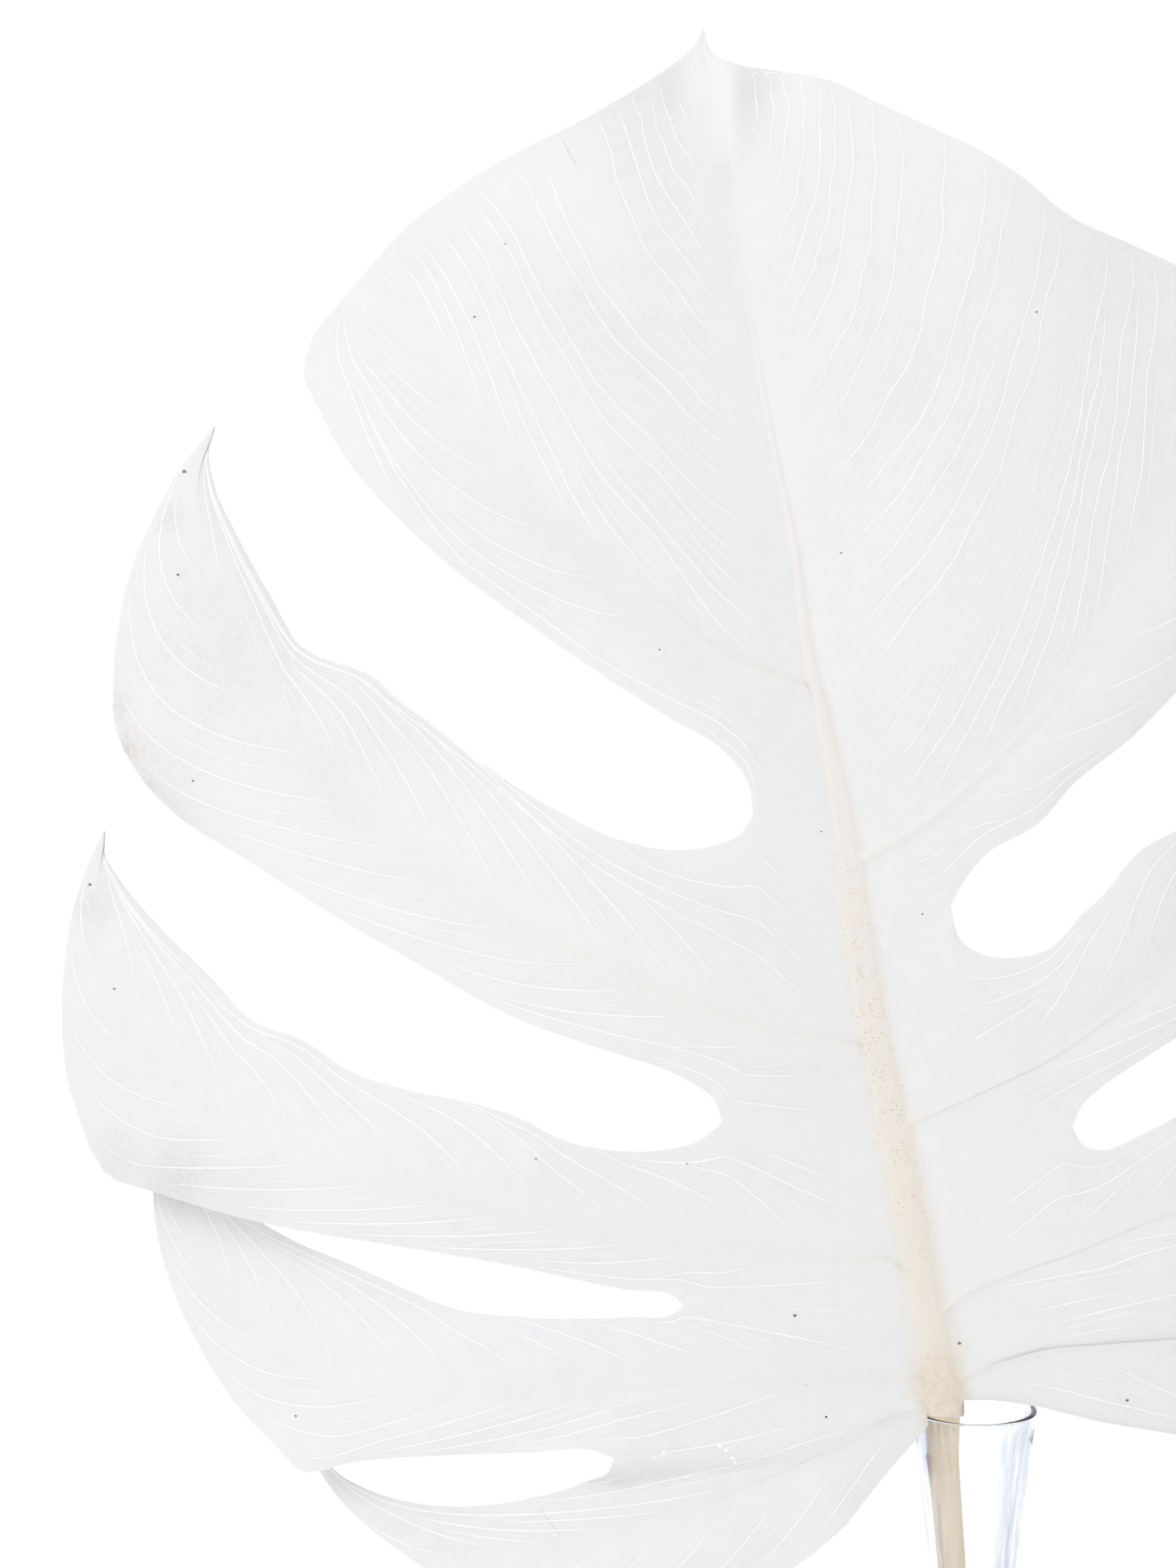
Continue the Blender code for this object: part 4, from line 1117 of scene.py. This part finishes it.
def front_of_blade(a, b):
    """The point of the blade's front at a place, and the way it faces."""
    before = Vector(to_world([a, b, -WELL_IN_FRONT]))
    spot, normal = blade_skin.ray_cast(before, BLADE_BACK)[:2]
    facing = normal if normal.dot(BLADE_BACK) < 0 else -normal
    return spot + facing * (0.5 * BLADE_THICKNESS * MM), facing


def lay_specks(name, specks, finish):
    crumbs = bmesh.new()
    for a, b, radius in specks:
        spot, facing = front_of_blade(a, b)
        made = bmesh.ops.create_icosphere(crumbs, subdivisions=2, radius=1.0)["verts"]
        turn = facing.to_track_quat("Z", "Y")
        for vertex in made:
            x, y, z = vertex.co
            angle = math.atan2(y, x)
            ragged = 1.0 + 0.22 * math.sin(3.0 * angle + 7.0 * a) + 0.12 * math.sin(5.0 * angle + b)
            reach = ragged * radius * MM
            vertex.co = spot + turn @ Vector((x * reach, y * 0.8 * reach, z * MARK_HEIGHT * MM))
    mesh = bpy.data.meshes.new(name)
    crumbs.to_mesh(mesh)
    crumbs.free()
    mesh.shade_smooth()
    return new_piece(name, mesh, finish)


def scratch_sections(way):
    sections = []
    shares = np.arange(SCRATCH_SECTIONS + 1) / SCRATCH_SECTIONS
    for share, (a, b) in zip(shares, along(np.array(way), shares)):
        spot, facing = front_of_blade(a, b)
        across = facing.cross(BLADE_UP).normalized()
        size = SCRATCH_HALF_WIDTH * (0.35 + math.sin(math.pi * share)) * MM
        sections.append([spot + across * size, spot + facing * (0.5 * MARK_HEIGHT * MM),
                         spot - across * size, spot - facing * (MARK_HEIGHT * MM)])
    return sections


dark_specks = lay_specks("leaf_specks", DARK_SPECKS,
                         mark_finish("dirt_specks", (0.10, 0.07, 0.05), (0.26, 0.19, 0.14)))
white_chips = lay_specks("leaf_chips", WHITE_CHIPS,
                         mark_finish("chipped_skin", (0.90, 0.90, 0.90), (0.96, 0.96, 0.96)))
scratches = join_threads("leaf_scratches", [scratch_sections(way) for way in SCRATCHES],
                         mark_finish("scratched_skin", (0.50, 0.44, 0.39), (0.66, 0.60, 0.55)))
for marks in (dark_specks, white_chips, scratches):
    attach(marks, "root")


# The stalk: a round, fibrous stem that carries on from the midrib, crinkled where it meets the
# blade. It leans on the inside of the vase's mouth and stands on the vase's floor.
STALK = [((-0.0103, -0.0054, 0.2413), 0.0019), ((-0.0090, -0.0066, 0.2343), 0.0030),
         ((-0.0080, -0.0071, 0.2285), 0.0037), ((-0.0074, -0.0058, 0.2232), 0.0038),
         ((-0.0069, -0.0033, 0.2170), 0.0036), ((-0.0068, -0.0016, 0.2100), 0.0035),
         ((-0.0060, -0.0008, 0.2010), 0.0033), ((-0.0046, -0.0003, 0.1850), 0.0031),
         ((-0.0027, 0.0000, 0.1600), 0.0029), ((-0.0022, 0.0004, 0.1200), 0.0029),
         ((-0.0014, 0.0006, 0.0700), 0.0029), ((-0.0004, 0.0004, 0.0145), 0.0029)]
STALK_STATIONS = 260
STALK_SIDES = 36
STALK_FLUTES = 0.018
STALK_WRINKLES = 0.035
WRINKLE_SPACING = 0.00042
JOINT_HEIGHT = 0.229
JOINT_SPREAD = 0.006


def stalk_finish():
    """Pale beige fibres that run along the stalk, with darker clouds. A warm glow and a beige paler than
    the stalk's own are painted light, standing in for the light the glass keeps off it.
    """
    stalk = Finish("bleached_stalk")
    fibres = stalk.noise(1300.0, 5.0, drawn_out=0.035)
    clouds = stalk.ramp(stalk.noise(150.0, 4.0), 0.50, 0.72, 0.0, 0.36)
    colour = stalk.lay(stalk.ramp(fibres, 0.38, 0.64), (0.962, 0.868, 0.716), (0.987, 0.922, 0.805))
    colour = stalk.lay(clouds, colour, (0.860, 0.680, 0.470))
    # Painted light: the stalk glows faintly warm though it is no lamp, and its beige is made paler, both
    # making up for light that the glass around it holds back.
    stalk.set(Base_Color=colour, Roughness=stalk.ramp(fibres, 0.3, 0.7, 0.62, 0.46),
              Emission_Color=(1.0, 0.62, 0.16), Emission_Strength=0.11)
    stalk.bump(fibres, 0.4, 0.0003)
    stalk.see_light_through(colour, 0.08)
    return stalk.material


def grow_stalk():
    """The stalk's rings from the blade down, fluted all along and wrinkled around the joint."""
    centres, given_radii = zip(*STALK)
    route = along(smooth_path(centres), np.arange(STALK_STATIONS) / (STALK_STATIONS - 1))
    heights = [centre[2] for centre in centres]
    radii = np.interp(route[:, 2], heights[::-1], given_radii[::-1])
    sections = []
    for k, (centre, radius) in enumerate(zip(route, radii)):
        ahead = Vector(route[min(k + 1, STALK_STATIONS - 1)]) - Vector(route[max(k - 1, 0)])
        across = ahead.cross(Vector((0.0, 1.0, 0.0))).normalized()
        front = ahead.cross(across).normalized()
        height = centre[2]
        joint = math.exp(-((height - JOINT_HEIGHT) / JOINT_SPREAD) ** 2)
        ring = []
        for i in range(STALK_SIDES):
            angle = 2 * math.pi * i / STALK_SIDES
            flute = math.sin(7 * angle + 40 * height) + 0.6 * math.sin(11 * angle - 65 * height) - 1.6
            wrinkle = math.sin(height / WRINKLE_SPACING + 2.0 * math.sin(3 * angle)) - 1.0
            size = radius * (1.0 + STALK_FLUTES * flute + joint * STALK_WRINKLES * wrinkle)
            ring.append(Vector(centre) + (across * math.cos(angle) + front * math.sin(angle)) * size)
        sections.append(ring)
    stalk = join_threads("leaf_stalk", [sections], stalk_finish())
    stalk.data.shade_smooth()
    stalk.data.set_sharp_from_angle(angle=math.radians(50))
    return stalk


leaf_stalk = grow_stalk()
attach(leaf_stalk, "root")
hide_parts("leaf")


# The studio: a white table that runs out of sight, white light from all round and a soft lamp high
# on the left. Two dark cloths out of view, the right one hung clear of the table, draw the edges of
# the glass; the right one shades the leaf too, while the left one shows in the glass alone.
TABLE_HALF = 30.0
ROOM_WHITE = 1.18
TABLE_GLOW = 0.16
LAMP_PLACE = Vector((-0.50, -1.25, 1.45))
LAMP_AIM = Vector((0.0, 0.0, 0.32))
LAMP_SIZE = 0.7
LAMP_POWER = 6.5

# Cloths: near and far corner, height of the lower and the upper edge, and colour
CLOTHS = [("right_cloth", (0.60, -0.85), (0.60, 0.55), 0.16, 1.00, (0.15, 0.16, 0.19)),
          ("left_cloth", (-0.46, -0.06), (-0.36, 0.40), 0.0, 0.27, (0.20, 0.24, 0.34))]


def plain_plane(name, corners, colour, glow=0.0):
    plain = Finish(name)
    plain.set(Base_Color=colour, Roughness=0.9, Emission_Color=(1.0, 1.0, 1.0), Emission_Strength=glow)
    mesh = bpy.data.meshes.new(name)
    mesh.from_pydata(corners, [], [(0, 1, 2, 3)])
    return new_piece(name, mesh, plain.material)


table_corners = [(x * TABLE_HALF, y * TABLE_HALF, 0) for x, y in ((-1, -1), (1, -1), (1, 1), (-1, 1))]
table = plain_plane("table", table_corners, (0.93, 0.93, 0.93), TABLE_GLOW)
for cloth_name, near, far, bottom, top, cloth_colour in CLOTHS:
    cloth = plain_plane(cloth_name, [(*near, bottom), (*far, bottom), (*far, top), (*near, top)],
                        cloth_colour)
    hangs_clear = bottom > 0
    cloth.visible_camera = False
    cloth.visible_diffuse = hangs_clear
    cloth.visible_shadow = hangs_clear

lamp_data = bpy.data.lights.new("soft_lamp", "AREA")
lamp_data.size = LAMP_SIZE
lamp_data.energy = LAMP_POWER
lamp = bpy.data.objects.new("soft_lamp", lamp_data)
lamp.location = LAMP_PLACE
lamp.rotation_euler = (LAMP_AIM - LAMP_PLACE).to_track_quat("-Z", "Y").to_euler()
bpy.context.scene.collection.objects.link(lamp)

room = bpy.data.worlds.new("white_room")
room.use_nodes = True
background = room.node_tree.nodes["Background"]
background.inputs["Color"].default_value = (1.0, 1.0, 1.0, 1.0)
background.inputs["Strength"].default_value = ROOM_WHITE
bpy.context.scene.world = room
bpy.context.scene.view_settings.view_transform = "Standard"


# The camera looks squarely at the leaf's plane, and so down by 8 degrees. The blade's foot lies at
# FOOT_PIXEL in an image of 1500 by 2000 pixels, and there a pixel is 0.168 mm wide.
FOOT_PIXEL = (1205, 1788)
PIXEL = 0.168 * MM
DISTANCE = 0.9
SENSOR = 36.0
IMAGE_WIDTH, IMAGE_HEIGHT = 1500, 2000

camera_data = bpy.data.cameras.new("camera")
camera_data.sensor_fit = "VERTICAL"
camera_data.sensor_height = SENSOR
camera_data.lens = SENSOR * DISTANCE / (IMAGE_HEIGHT * PIXEL)
camera = bpy.data.objects.new("camera", camera_data)
aim = BLADE_FOOT + Vector((1.0, 0.0, 0.0)) * ((IMAGE_WIDTH / 2 - FOOT_PIXEL[0]) * PIXEL)
aim += BLADE_UP * ((FOOT_PIXEL[1] - IMAGE_HEIGHT / 2) * PIXEL)
camera.location = aim - BLADE_BACK * DISTANCE
camera.rotation_euler = (math.radians(90.0) - LEAN, 0.0, 0.0)
bpy.context.scene.collection.objects.link(camera)
bpy.context.scene.camera = camera
